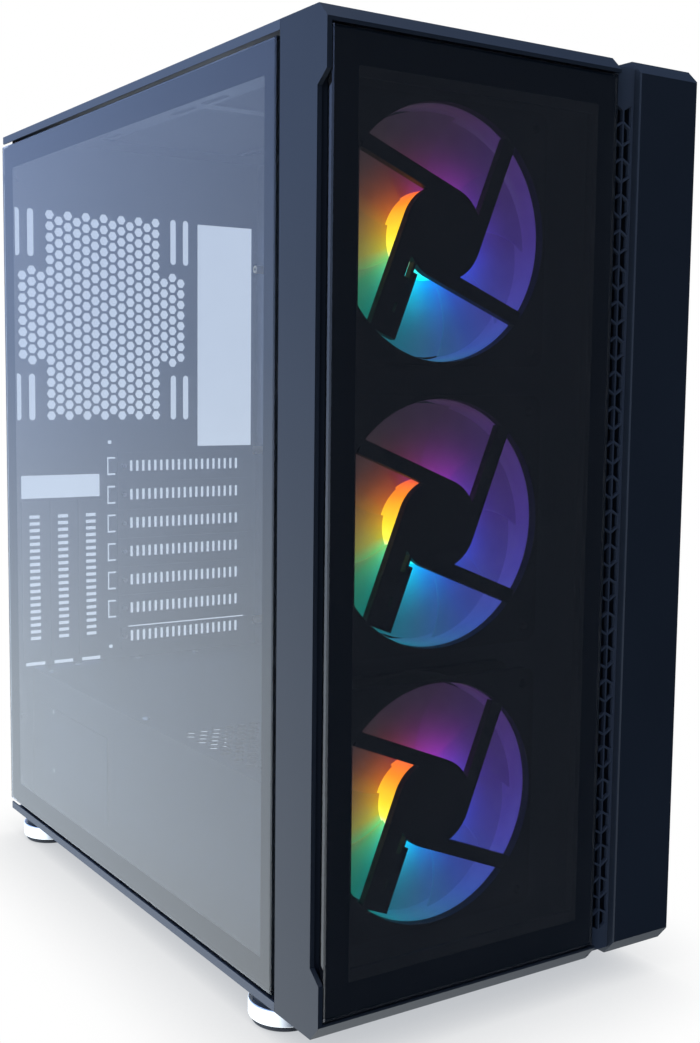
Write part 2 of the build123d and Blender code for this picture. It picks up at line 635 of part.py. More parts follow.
# ---------------------------------------------------------------- top controls
def io_strip():
    """Moulded strip in the roof that holds the buttons and sockets."""
    top = HEIGHT + 1.0
    lip = block(IO_STRIP_X, IO_STRIP_Y, (HEIGHT, top))
    lip = chamfer(lip.edges().group_by(Axis.Z)[-1], 0.6)
    body = block((IO_STRIP_X[0] + 2.2, IO_STRIP_X[1] - 2.2),
                 (IO_STRIP_Y[0] + 2.2, IO_STRIP_Y[1] - 2.2), (HEIGHT - 3.5, HEIGHT))
    middle = sum(IO_STRIP_Y) / 2
    strip = joined([lip, body])
    strip = strip - rod(7.1, (POWER_X, middle, HEIGHT - 9), 20)
    strip = strip - rod(3.9, (RESET_X, middle, HEIGHT - 9), 20)
    strip = strip - block((LED_X - 1.2, LED_X + 1.2), (middle - 4, middle + 4),
                          (HEIGHT - 9, HEIGHT + 9))
    for x in USB_X:
        strip = strip - block((x - 7.4, x + 7.4), (middle - 3.5, middle + 3.5),
                              (HEIGHT - 9, HEIGHT + 9))
    for x in JACK_X:
        strip = strip - rod(4.1, (x, middle, HEIGHT - 9), 20)
    return strip


def push_button(x, radius, crown):
    """Button cap with a stem that reaches towards its switch."""
    middle = sum(IO_STRIP_Y) / 2
    cap = rod(radius, (x, middle, HEIGHT - 4.0), 4.0 + crown)
    cap = fillet(cap.edges().group_by(Axis.Z)[-1], 0.6)
    stem = rod(1.5, (x, middle, HEIGHT - 6.2), 2.4)
    return joined([cap, stem])


def led_lens():
    middle = sum(IO_STRIP_Y) / 2
    return block((LED_X - 1.1, LED_X + 1.1), (middle - 3.9, middle + 3.9),
                 (HEIGHT - 5.5, HEIGHT + 1.0))


def usb_ports():
    """Two USB type A sockets: a steel shell around a plastic tongue."""
    middle = sum(IO_STRIP_Y) / 2
    ports = []
    for x in USB_X:
        shell = block((x - 7.2, x + 7.2), (middle - 3.3, middle + 3.3), (HEIGHT - 11, HEIGHT + 0.8))
        mouth = block((x - 6.5, x + 6.5), (middle - 2.6, middle + 2.6), (HEIGHT - 9, HEIGHT + 2))
        tongue = block((x - 6.0, x + 6.0), (middle + 0.2, middle + 2.0), (HEIGHT - 10, HEIGHT - 0.5))
        ports.append(joined([shell - mouth, tongue]))
    return group(ports)


def audio_jacks():
    middle = sum(IO_STRIP_Y) / 2
    jacks = []
    for x in JACK_X:
        barrel = rod(4.0, (x, middle, HEIGHT - 11), 11.9)
        jacks.append(barrel - rod(1.8, (x, middle, HEIGHT - 10), 14))
    return group(jacks)


def io_board():
    """Circuit board under the strip, with the two button switches on it."""
    middle = sum(IO_STRIP_Y) / 2
    board = block((IO_STRIP_X[0] + 4, IO_STRIP_X[1] - 4), (middle - 8, middle + 8),
                  (HEIGHT - 12.6, HEIGHT - 11))
    switches = [block((x - 3, x + 3), (middle - 3, middle + 3), (HEIGHT - 11, HEIGHT - 8))
                for x in (POWER_X, RESET_X)]
    return joined([board, *switches])


def io_board_posts():
    """Two posts that hang the board from the strip's underside."""
    middle = sum(IO_STRIP_Y) / 2
    return group([block((x - 1.5, x + 1.5), (middle - 4, middle + 4), (HEIGHT - 11, HEIGHT - 3.5))
                  for x in (15.5, 57.0)])


# ---------------------------------------------------------------- fans
def strut(angle, width, centre_z):
    """Arm that leaves the hub disc along a tangent and ends in the frame's bore."""
    offset = HUB_DISC - width / 2
    length = math.sqrt((FAN_BORE + 1) ** 2 - (offset + width / 2) ** 2)
    bar = Pos(length / 2, -offset, 0) * Box(length, width, 4.0)
    if width == CABLE_STRUT_WIDTH:
        bar = bar - [Pos(along, across, 0) * Box(slit_length, slit_width, 10)
                     for along, across, slit_length, slit_width in CABLE_SLITS]
    turned = Rot(0, 0, angle) * bar
    return Pos(FAN_X, FAN_FRONT_Y + 2.2, centre_z) * Rot(90, 0, 0) * turned


def fan_frame(centre_z):
    """Square frame with a round bore, a motor disc in front and four struts."""
    half = FAN_SIZE / 2
    outline = (Pos(FAN_X, centre_z) * RectangleRounded(FAN_SIZE, FAN_SIZE, 6)).wire()
    hole = FAN_HOLE_SPACING / 2
    holes = [circle_wire(FAN_X + dx * hole, centre_z + dz * hole, 2.15)
             for dx in (-1, 1) for dz in (-1, 1)]
    bore = circle_wire(FAN_X, centre_z, FAN_BORE)
    front = sheet("Y", FAN_FRONT_Y, outline, [bore, *holes], 4.0)
    back = sheet("Y", FRONT_SHEET_Y - 4.0, outline, [bore, *holes], 4.0)
    tunnel = sheet("Y", FAN_FRONT_Y, circle_wire(FAN_X, centre_z, half), [bore], FAN_THICKNESS)
    disc = rod(HUB_DISC, (FAN_X, FAN_FRONT_Y + 0.2, centre_z), 4.0, "Y")
    tube = rod(3.6, (FAN_X, FAN_FRONT_Y + 4.0, centre_z), 13.6, "Y")
    bearing = rod(1.55, (FAN_X, FAN_FRONT_Y + 2.0, centre_z), 20.0, "Y")
    struts = [strut(STRUT_ANGLE + 90 * i, CABLE_STRUT_WIDTH if i == 3 else STRUT_WIDTH, centre_z)
              for i in range(4)]
    ring_limit = rod(half, (FAN_X, FAN_FRONT_Y, centre_z), FAN_THICKNESS, "Y")
    struts = [arm & ring_limit for arm in struts]
    return joined([front, back, tunnel, disc, tube, *struts]) - bearing


def blade(angle, centre_z):
    """One twisted blade between the hub and the bore."""
    root = (Plane(origin=(IMPELLER_HUB - 1.0, 0, 0), x_dir=(0, 1, 0), z_dir=(1, 0, 0))
            * (Rot(0, 0, 44) * Rectangle(14.0, 1.5)))
    tip = (Plane(origin=(IMPELLER_TIP, 0, 0), x_dir=(0, 1, 0), z_dir=(1, 0, 0))
           * (Rot(0, 0, 26) * Rectangle(31.0, 1.2)))
    wing = loft([root.face(), tip.face()])
    trimmed = wing & Cylinder(IMPELLER_TIP, 40)
    placed = Rot(0, 0, angle) * trimmed
    return Pos(FAN_X, FAN_FRONT_Y + BLADE_MIDDLE, centre_z) * Rot(90, 0, 0) * placed


def impeller(centre_z):
    """Rotor: a cup over the motor, a shaft in the bearing and a ring of blades."""
    cup = rod(IMPELLER_HUB, (FAN_X, FAN_FRONT_Y + 5.2, centre_z), 16.0, "Y")
    cup = fillet(cup.edges().group_by(Axis.Y)[-1], 2.0)
    cavity = rod(IMPELLER_HUB - 2.0, (FAN_X, FAN_FRONT_Y + 2.0, centre_z), 16.8, "Y")
    shaft = rod(1.5, (FAN_X, FAN_FRONT_Y + 2.6, centre_z), 17.2, "Y")
    blades = [blade(360 / BLADES * i, centre_z) for i in range(BLADES)]
    rotor = joined([cup, *blades]) - cavity
    return joined([rotor, shaft])


def fan_stators():
    """Motor windings around each bearing tube."""
    stators = []
    for z in FAN_Z:
        coil = rod(15.0, (FAN_X, FAN_FRONT_Y + 5.4, z), 8.6, "Y")
        stators.append(coil - rod(3.6, (FAN_X, FAN_FRONT_Y, z), 30.0, "Y"))
    return group(stators)


def fan_screws():
    """Self-tapping screws, driven from inside the case through the front sheet."""
    screw = Rot(-90, 0, 0) * machine_screw(3.8, 2.2, 2.05, 11.0)
    half = FAN_HOLE_SPACING / 2
    return group([Pos(FAN_X + dx * half, FRONT_SHEET_Y + SHEET - 11.0, z + dz * half) * screw
                  for z in FAN_Z for dx in (-1, 1) for dz in (-1, 1)])


# ---------------------------------------------------------------- side panels
def side_glass():
    pane = block((-WIDTH / 2, -WIDTH / 2 + GLASS), PANEL_Y, PANEL_Z)
    return chamfer(pane.edges().group_by(Axis.X)[0], 0.6)


def panel_tabs(side, x_outer):
    """Rear tabs of a side panel, each with a hole for its thumbscrew."""
    x = sorted((side * x_outer, side * 93.5))
    tabs = []
    for z in THUMBSCREW_Z:
        tab = block(x, (PANEL_TAB_Y, PANEL_TAB_Y + PANEL_TAB), (z - 12, z + 12))
        tabs.append(tab - rod(2.1, (side * THUMBSCREW_X, PANEL_TAB_Y - 1, z), 4, "Y"))
    return tabs


def glass_carrier():
    """Steel frame bonded behind the side glass, with the rear tabs."""
    x = -WIDTH / 2 + GLASS
    outline = rectangle_wire((PANEL_Y[0] + 1, PANEL_TAB_Y + PANEL_TAB),
                             (PANEL_Z[0] + 1, PANEL_Z[1] - 1))
    ring = sheet("X", x, outline, [rectangle_wire(WINDOW_Y, WINDOW_Z)])
    return joined([ring, *panel_tabs(-1, -x)])


def right_panel():
    """Plain steel side with turned edges and the rear tabs."""
    x = WIDTH / 2
    skin = block((x - SHEET, x), (PANEL_Y[0], PANEL_TAB_Y + PANEL_TAB), PANEL_Z)
    edges = [block((x - 4.5, x - SHEET), (PANEL_Y[0], PANEL_TAB_Y), (z, z + SHEET))
             for z in (PANEL_Z[0], PANEL_Z[1] - SHEET)]
    front = block((x - 4.5, x - SHEET), (PANEL_Y[0], PANEL_Y[0] + SHEET), PANEL_Z)
    return joined([skin, *edges, front, *panel_tabs(1, x - SHEET / 2)])


def thumbscrew(side, z):
    """Captive knurled screw that turns in the panel's flange."""
    start = PANEL_TAB_Y + PANEL_TAB + 0.4
    x = side * THUMBSCREW_X
    head = rod(THUMBSCREW_HEAD, (x, start, z), OVERALL_DEPTH - start, "Y")
    head = chamfer(head.edges().group_by(Axis.Y)[-1], 0.8)
    for turn in range(0, 360, 20):
        angle = math.radians(turn)
        groove = rod(0.5, (x + THUMBSCREW_HEAD * math.cos(angle), start - 1,
                           z + THUMBSCREW_HEAD * math.sin(angle)), 20, "Y")
        head = head - groove
    shank = rod(THUMBSCREW_SHANK, (x, REAR_WALL_Y - 3, z), start - REAR_WALL_Y + 3.5, "Y")
    return joined([head, shank])


# ---------------------------------------------------------------- assembly
def build():
    parts["chassis_floor"] = floor_pan()
    parts["chassis_roof"] = roof_pan()
    parts["chassis_rear_wall"] = rear_wall()
    parts["chassis_front_frame"] = front_frame()
    parts["motherboard_tray"] = motherboard_tray()
    parts["motherboard_standoffs"] = standoffs()
    parts["psu_shroud_top"] = shroud_top()
    parts["psu_shroud_side"] = shroud_side()
    parts["psu_shroud_plate"] = shroud_plate()
    parts["psu_rest_pads"] = psu_pads()
    parts["cable_grommets"] = grommets()
    for row in range(SLOT_ROWS):
        cover = rear_cover(narrow=row == SLOT_ROWS - 1)
        parts[f"slot_cover_{row + 1}"] = Pos(0, 0, SLOT_TOP_Z - SLOT_PITCH * row) * cover
    parts["vertical_slot_covers"] = vertical_covers()
    parts["slot_clamp_strip"] = clamp_strip()
    parts["slot_screws"] = slot_screws()
    parts["drive_cage"] = drive_cage()
    parts["drive_tray_lower"] = drive_tray(DRIVE_TRAY_Z[0])
    parts["drive_tray_upper"] = drive_tray(DRIVE_TRAY_Z[1])
    parts["ssd_bracket"] = ssd_bracket()
    parts["fan_controller"] = fan_controller()
    parts["top_filter"] = framed_filter((-96, 96), (74, 390), (HEIGHT, HEIGHT + 1.6), 8, 0.5)
    parts["bottom_filter"] = bottom_filter()
    parts["foot_rings"] = group([foot_ring(x, y) for x, y in foot_places()])
    parts["foot_cores"] = group([foot_core(x, y) for x, y in foot_places()])
    parts["foot_pads"] = group([foot_pad(x, y) for x, y in foot_places()])
    parts["foot_screws"] = foot_screws()
    parts["front_bezel"] = bezel_frame()
    parts["bezel_pillar"] = pillar()
    parts["groove_grille"] = groove_grille()
    parts["front_glass"] = front_glass()
    parts["front_glass_spacers"] = glass_spacers()
    parts["io_strip"] = io_strip()
    parts["power_button"] = push_button(POWER_X, 6.7, 2.2)
    parts["reset_button"] = push_button(RESET_X, 3.5, 2.0)
    parts["led_lens"] = led_lens()
    parts["usb_ports"] = usb_ports()
    parts["audio_jacks"] = audio_jacks()
    parts["io_board"] = joined([io_board(), *io_board_posts().solids()])
    for number, z in enumerate(FAN_Z, start=1):
        parts[f"fan_frame_{number}"] = fan_frame(z)
        parts[f"fan_impeller_{number}"] = impeller(z)
    parts["fan_stators"] = fan_stators()
    parts["fan_screws"] = fan_screws()
    parts["side_glass"] = side_glass()
    parts["side_glass_carrier"] = glass_carrier()
    parts["right_panel"] = right_panel()
    for side_name, side in (("left", -1), ("right", 1)):
        for end, z in zip(("lower", "upper"), THUMBSCREW_Z):
            parts[f"thumbscrew_{side_name}_{end}"] = thumbscrew(side, z)


build()
to_row_frame = Pos(0, -OVERALL_DEPTH / 2, FOOT_HEIGHT)
for name, shape in parts.items():
    placed = to_row_frame * shape
    placed.label = name
    export_step(placed, f"parts/{name}.step")
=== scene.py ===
# %% [markdown]
# # A glass-sided computer tower
# The case comes in as a finished model: every sheet, pane and screw is already in its real place,
# in metres. Blender's job is to give each of them the surface it has in real life, and to make
# the few pieces that a solid modeller does badly, such as woven filters and glowing fan blades.

# %% Load the case
import math

import bmesh
import bpy
from mathutils import Matrix, Vector


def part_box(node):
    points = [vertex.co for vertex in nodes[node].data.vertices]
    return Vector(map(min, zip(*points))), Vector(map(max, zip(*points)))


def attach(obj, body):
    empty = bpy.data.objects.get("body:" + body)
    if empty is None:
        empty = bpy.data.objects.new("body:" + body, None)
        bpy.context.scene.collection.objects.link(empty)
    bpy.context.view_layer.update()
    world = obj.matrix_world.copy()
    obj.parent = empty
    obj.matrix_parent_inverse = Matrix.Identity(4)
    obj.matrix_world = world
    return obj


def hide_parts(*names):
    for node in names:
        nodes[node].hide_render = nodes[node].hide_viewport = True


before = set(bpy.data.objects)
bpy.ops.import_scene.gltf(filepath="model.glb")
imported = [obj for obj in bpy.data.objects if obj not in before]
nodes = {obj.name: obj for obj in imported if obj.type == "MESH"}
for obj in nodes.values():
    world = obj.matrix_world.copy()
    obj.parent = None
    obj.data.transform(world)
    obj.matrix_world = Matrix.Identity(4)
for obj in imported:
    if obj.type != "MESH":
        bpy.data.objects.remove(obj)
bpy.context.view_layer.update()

glass_low, glass_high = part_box("front_glass")
FRONT_Y = glass_low.y
FLOOR_EDGE = 0.0045      # height of the floor sheet's turned-up edges
CASE_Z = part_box("chassis_floor")[1].z - FLOOR_EDGE

# %% [markdown]
# ## The camera
# The camera looks at the front left corner from a little above the middle of the case, tipped
# slightly down. Its place is measured from the front glass and from the underside of the case.
# The rotation is built from three turns that can be read one by one: heading, tilt and roll.

# %% Camera
FOCAL_LENGTH_MM = 46.93
SENSOR_MM = 36.0
HEADING, DOWNWARD, ROLL = -33.24, 5.84, 0.66      # degrees
TO_THE_LEFT, IN_FRONT, ABOVE = 0.4189, 0.4928, 0.2956


def make_camera():
    data = bpy.data.cameras.new("camera")
    data.lens = FOCAL_LENGTH_MM
    data.sensor_width = SENSOR_MM
    camera = bpy.data.objects.new("camera", data)
    bpy.context.scene.collection.objects.link(camera)
    heading = Matrix.Rotation(math.radians(HEADING), 4, "Z")
    tilt = Matrix.Rotation(math.radians(90 - DOWNWARD), 4, "X")
    roll = Matrix.Rotation(math.radians(ROLL), 4, "Z")
    place = Matrix.Translation((-TO_THE_LEFT, FRONT_Y - IN_FRONT, CASE_Z + ABOVE))
    camera.matrix_world = place @ heading @ tilt @ roll
    data.clip_start = 0.01
    data.clip_end = 50.0
    return camera


bpy.context.scene.camera = make_camera()
print("camera at", [round(v, 3) for v in bpy.context.scene.camera.location])

# %% [markdown]
# ## Helpers for materials
# Every finish below starts from the same shader and adds its own nodes. These helpers save typing:
# one makes an empty material, one adds a node and sets its sockets, one does a sum. A socket takes
# either a plain value or another node's output, and `feed` tells the two apart.

# %% Node helpers
def feed(tree, socket, value):
    """Links a socket to another node's output, or sets it to a plain value."""
    if isinstance(value, bpy.types.NodeSocket):
        tree.links.new(value, socket)
    else:
        socket.default_value = value


def start_material(name):
    material = bpy.data.materials.new(name)
    material.use_nodes = True
    tree = material.node_tree
    shader = tree.nodes["Principled BSDF"]
    return material, tree, shader


def add(tree, kind, **sockets):
    node = tree.nodes.new(kind)
    for key, value in sockets.items():
        feed(tree, node.inputs[key.replace("_", " ")], value)
    return node


def maths(tree, operation, first, second=0.0):
    node = tree.nodes.new("ShaderNodeMath")
    node.operation = operation
    feed(tree, node.inputs[0], first)
    feed(tree, node.inputs[1], second)
    return node.outputs["Value"]


print("node helpers ready; materials so far:", len(bpy.data.materials))

# %% [markdown]
# Patterns start from a noise. It reads Object coordinates, which are metres here, so a scale of
# 1000 gives a grain of a millimetre. A ramp turns the noise into colours, a map range into
# roughness, and a bump node into a fine relief that costs no extra faces.

# %% Pattern helpers
MM_PER_METRE = 1000.0


def object_space(tree):
    return tree.nodes.new("ShaderNodeTexCoord").outputs["Object"]


def noise(tree, scale, detail=2.0, roughness=0.5):
    node = add(tree, "ShaderNodeTexNoise", Vector=object_space(tree), Scale=scale, Detail=detail,
               Roughness=roughness)
    return node.outputs["Fac"]


def ramp(tree, value, stops):
    node = tree.nodes.new("ShaderNodeValToRGB")
    elements = node.color_ramp.elements
    while len(elements) < len(stops):
        elements.new(0.5)
    for element, (position, colour) in zip(elements, stops):
        element.position = position
        element.color = (*colour, 1.0)
    tree.links.new(value, node.inputs["Fac"])
    return node.outputs["Color"]


def spread(tree, value, low, high):
    node = add(tree, "ShaderNodeMapRange", Value=value)
    node.inputs["To Min"].default_value = low
    node.inputs["To Max"].default_value = high
    return node.outputs["Result"]


def bumps(tree, shader, height, distance, strength=1.0):
    node = add(tree, "ShaderNodeBump", Height=height, Distance=distance, Strength=strength)
    tree.links.new(node.outputs["Normal"], shader.inputs["Normal"])


def shade(colour, factor):
    return tuple(min(1.0, channel * factor) for channel in colour)


def blend_colour(tree, first, second, factor):
    node = tree.nodes.new("ShaderNodeMix")
    node.data_type = "RGBA"
    for socket, value in ((node.inputs[6], first), (node.inputs[7], second)):
        plain = not isinstance(value, bpy.types.NodeSocket)
        feed(tree, socket, (*value, 1.0) if plain else value)
    feed(tree, node.inputs[0], factor)
    return node.outputs[2]


print("half-bright white:", shade((1.0, 1.0, 1.0), 0.5))

# %% [markdown]
# ## Painted steel and moulded plastic
# The chassis is powder coated: paint that is dusted on dry and baked, which leaves a fine pebbled
# skin. The bezel is injection moulded, so its skin is the spark-eroded grain of the mould. Both
# are made the same way, a small noise for the skin and a large one for handling marks, at
# different scales. Noise in three dimensions needs no unwrapping and has no seams.

# %% Powder coat and moulded plastic
HANDLING_SCALE = 9.0      # large soft marks, about a hand's breadth across


def grained(name, colour, roughness, grain_mm, depth_mm, gloss=0.5, coat=0.0, marks=0.12):
    material, tree, shader = start_material(name)
    cloud = noise(tree, HANDLING_SCALE, 4.0, 0.55)
    grain = noise(tree, MM_PER_METRE / grain_mm, 2.0, 0.6)
    tone = ramp(tree, cloud, [(0.3, shade(colour, 1.0 - marks)), (0.7, shade(colour, 1.0 + marks))])
    speck = ramp(tree, grain, [(0.35, shade(colour, 0.75)), (0.7, shade(colour, 1.3))])
    tree.links.new(blend_colour(tree, tone, speck, 0.35), shader.inputs["Base Color"])
    worn = blend_colour(tree, spread(tree, cloud, roughness * 0.88, roughness * 1.12),
                        spread(tree, grain, roughness * 0.85, roughness * 1.1), 0.5)
    tree.links.new(worn, shader.inputs["Roughness"])
    shader.inputs["Specular IOR Level"].default_value = gloss
    shader.inputs["Coat Weight"].default_value = coat
    shader.inputs["Coat Roughness"].default_value = 0.25
    bumps(tree, shader, grain, depth_mm / MM_PER_METRE, 0.6)
    return material


powder_coat = grained("powder_coat_black", (0.024, 0.031, 0.046), 0.50, 0.45, 0.03)
bezel_grain = grained("bezel_grain_black", (0.012, 0.015, 0.021), 0.38, 0.35, 0.02, gloss=0.22)
grille_black = grained("grille_black", (0.035, 0.043, 0.060), 0.42, 0.3, 0.03)
fan_black = grained("fan_frame_black", (0.008, 0.010, 0.013), 0.50, 0.4, 0.03, gloss=0.25)
tray_grey = grained("drive_tray_grey", (0.035, 0.037, 0.042), 0.5, 0.5, 0.05)
rubber_black = grained("rubber_black", (0.018, 0.018, 0.019), 0.75, 0.25, 0.06, marks=0.2)
foam_black = grained("foam_black", (0.022, 0.022, 0.023), 0.92, 0.8, 0.35, marks=0.25)
print("plain finishes:", len(bpy.data.materials))

# %% [markdown]
# ## Bare metals
# Turned parts such as the foot rings carry fine rings from the lathe, and zinc-plated screws are
# a little cloudy. A stretched noise gives the lathe lines: it is squeezed along the axis of
# turning, so it changes quickly up the ring and hardly at all around it.

# %% Metals
CLOUD_SCALE = 60.0
SQUEEZE = {"X": (1.0, 0.02, 0.02), "Y": (0.02, 1.0, 0.02), "Z": (0.02, 0.02, 1.0)}


def metal(name, colour, roughness, line_mm=0.0, line_axis="Z"):
    material, tree, shader = start_material(name)
    shader.inputs["Metallic"].default_value = 1.0
    cloud = noise(tree, CLOUD_SCALE, 3.0, 0.5)
    tone = ramp(tree, cloud, [(0.3, shade(colour, 0.86)), (0.75, shade(colour, 1.05))])
    tree.links.new(tone, shader.inputs["Base Color"])
    if line_mm:
        mapping = add(tree, "ShaderNodeMapping", Vector=object_space(tree))
        mapping.inputs["Scale"].default_value = SQUEEZE[line_axis]
        lines = add(tree, "ShaderNodeTexNoise", Vector=mapping.outputs["Vector"],
                    Scale=MM_PER_METRE / line_mm, Detail=3.0)
        tree.links.new(spread(tree, lines.outputs["Fac"], roughness * 0.7, roughness * 1.35),
                       shader.inputs["Roughness"])
        bumps(tree, shader, lines.outputs["Fac"], 0.00002, 0.5)
    else:
        tree.links.new(spread(tree, cloud, roughness * 0.8, roughness * 1.25),
                       shader.inputs["Roughness"])
        bumps(tree, shader, noise(tree, 3000.0), 0.00001, 0.4)
    return material


satin_silver = metal("satin_silver", (0.86, 0.87, 0.89), 0.28, line_mm=0.35)
zinc_plate = metal("zinc_plate", (0.56, 0.57, 0.60), 0.34)
black_screw = metal("black_oxide_screw", (0.10, 0.10, 0.11), 0.38, line_mm=0.4, line_axis="Y")
raw_brass = metal("turned_brass", (0.72, 0.52, 0.24), 0.30, line_mm=0.3, line_axis="X")
copper_wire = metal("enamelled_copper", (0.62, 0.28, 0.12), 0.32, line_mm=0.4, line_axis="Y")
print("metals:", [m.name for m in (satin_silver, zinc_plate, black_screw, raw_brass, copper_wire)])

# %% [markdown]
# ## Glass
# Real panes are bodies with two faces, so light is bent on the way in and on the way out, and
# each face gives its own reflection. The shader shares the tint between the two faces, so the
# colour given here is what gets through the whole pane. The front pane lets a fifth of the light
# through, the side pane half. Faint streaks in the roughness keep them from looking like empty
# air.

# %% Glass
def tinted(name, colour, smear, ior):
    material, tree, shader = start_material(name)
    shader.inputs["Transmission Weight"].default_value = 1.0
    shader.inputs["IOR"].default_value = ior
    wipe = noise(tree, 14.0, 4.0, 0.6)
    tint = ramp(tree, wipe, [(0.25, shade(colour, 0.97)), (0.8, shade(colour, 1.02))])
    tree.links.new(tint, shader.inputs["Base Color"])
    tree.links.new(spread(tree, wipe, 0.0, smear), shader.inputs["Roughness"])
    return material


smoked_front = tinted("smoked_front_glass", (0.165, 0.180, 0.218), 0.004, 1.5)
side_tint = tinted("side_glass_tint", (0.47, 0.54, 0.64), 0.005, 1.62)
print("glass:", smoked_front.name, side_tint.name)

# %% [markdown]
# ## Light from the fans
# The fans are lit from their hubs, and the light changes colour around the circle: amber on the
# left, green below it, blue at the foot, violet on the right and dull rose at the top. The angle
# around the hub is worked out from the position, and a colour ramp, bent round into a wheel, turns
# it into the right hue. Two wheels are used, a strong one near the hub and a dim one far from it,
# and the distance from the hub fades one into the other, as light fades in real frosted plastic.

# %% Fan light
FADE_END = 0.0585         # radius at which only the far wheel is left
FADE_WIDTH = 0.0375
FADE_POWER = 3.0
FROSTED_GREY = 0.05


def fan_glow(name, centre, strength, near_wheel, far_wheel):
    """Light by clock angle and distance from the hub."""
    material, tree, shader = start_material(name)
    split = add(tree, "ShaderNodeSeparateXYZ", Vector=object_space(tree))
    across = maths(tree, "SUBTRACT", split.outputs["X"], centre.x)
    up = maths(tree, "SUBTRACT", split.outputs["Z"], centre.z)
    angle = maths(tree, "ARCTAN2", up, across)
    turn = maths(tree, "ADD", maths(tree, "DIVIDE", angle, 2 * math.pi), 0.5)
    squares = [maths(tree, "MULTIPLY", side, side) for side in (across, up)]
    radius = maths(tree, "SQRT", maths(tree, "ADD", *squares))
    inward = maths(tree, "DIVIDE", maths(tree, "SUBTRACT", FADE_END, radius), FADE_WIDTH)
    limited = maths(tree, "MINIMUM", maths(tree, "MAXIMUM", inward, 0.0), 1.0)
    near = maths(tree, "POWER", limited, FADE_POWER)
    glow = blend_colour(tree, ramp(tree, turn, far_wheel), ramp(tree, turn, near_wheel), near)
    haze = noise(tree, 120.0, 3.0)
    uneven = spread(tree, haze, 0.92, 1.08)
    # The blades and rim sleeve are no lamps: their emission is painted light, standing in for the
    # hub's light scattered in the frosted plastic.
    tree.links.new(glow, shader.inputs["Emission Color"])
    tree.links.new(maths(tree, "MULTIPLY", uneven, strength), shader.inputs["Emission Strength"])
    cloudy = ramp(tree, haze, [(0.3, (FROSTED_GREY,) * 3), (0.7, (FROSTED_GREY * 1.6,) * 3)])
    tree.links.new(cloudy, shader.inputs["Base Color"])
    tree.links.new(spread(tree, haze, 0.3, 0.5), shader.inputs["Roughness"])
    bumps(tree, shader, noise(tree, 1500.0), 0.00003, 0.5)
    return material


print("colours fade out", FADE_END, "m from the hub's axis")

# %% [markdown]
# The wheels hold colours at places around the circle. 0 and 1 are the left of the fan, 0.25 the
# foot, 0.5 the right and 0.75 the top. Each wheel ends on the colour it starts with, so the seam at
# the left can't be seen. The blades have a strong and a dim wheel, the hub one bright wheel, and
# the rim a slightly brighter copy of the blades' dim one.

# %% Colour wheels
NEAR_BLADES = [(0.00, (0.55, 0.26, 0.01)), (0.05, (0.50, 0.42, 0.02)), (0.09, (0.16, 0.70, 0.16)),
               (0.14, (0.01, 0.80, 0.52)), (0.20, (0.00, 0.88, 1.00)), (0.27, (0.00, 0.42, 0.95)),
               (0.34, (0.02, 0.14, 0.75)), (0.45, (0.06, 0.09, 0.85)), (0.55, (0.14, 0.05, 0.55)),
               (0.65, (0.30, 0.03, 0.34)), (0.75, (0.20, 0.02, 0.14)), (0.84, (0.20, 0.02, 0.02)),
               (0.93, (0.48, 0.09, 0.01)), (1.00, (0.55, 0.26, 0.01))]
FAR_BLADES = [(0.00, (0.105, 0.072, 0.026)), (0.05, (0.140, 0.134, 0.036)),
              (0.09, (0.026, 0.170, 0.078)), (0.14, (0.004, 0.140, 0.088)),
              (0.20, (0.010, 0.120, 0.145)), (0.25, (0.023, 0.098, 0.160)),
              (0.33, (0.030, 0.058, 0.225)), (0.42, (0.044, 0.034, 0.190)),
              (0.50, (0.040, 0.020, 0.120)), (0.60, (0.038, 0.016, 0.074)),
              (0.70, (0.032, 0.014, 0.036)), (0.80, (0.024, 0.015, 0.022)),
              (0.92, (0.032, 0.021, 0.017)), (1.00, (0.105, 0.072, 0.026))]
HUB_WHEEL = [(0.00, (1.00, 0.66, 0.02)), (0.06, (1.00, 0.88, 0.06)), (0.10, (0.72, 1.00, 0.42)),
             (0.15, (0.06, 1.00, 0.72)), (0.22, (0.00, 0.90, 1.00)), (0.32, (0.01, 0.32, 1.00)),
             (0.45, (0.06, 0.10, 0.95)), (0.58, (0.22, 0.05, 0.70)), (0.68, (0.50, 0.05, 0.35)),
             (0.78, (0.75, 0.06, 0.03)), (0.89, (1.00, 0.24, 0.01)), (1.00, (1.00, 0.66, 0.02))]
# The rim's brighter copy is painted light for what the blades throw onto the sleeve.
RIM_WHEEL = [(position, shade(colour, 1.3)) for position, colour in FAR_BLADES]


def fan_centre(number):
    low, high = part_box(f"fan_frame_{number}")
    return Vector(((low.x + high.x) / 2, low.y, (low.z + high.z) / 2))


print("fan centres", [tuple(round(v, 4) for v in fan_centre(n)) for n in (1, 2, 3)])

# %% [markdown]
# ## Working with Geometry Nodes from a script
# A node tree is a recipe: sizes go in at named inputs and a mesh comes out. `Recipe` starts a tree
# with its inputs and shares the node helpers above with the materials.

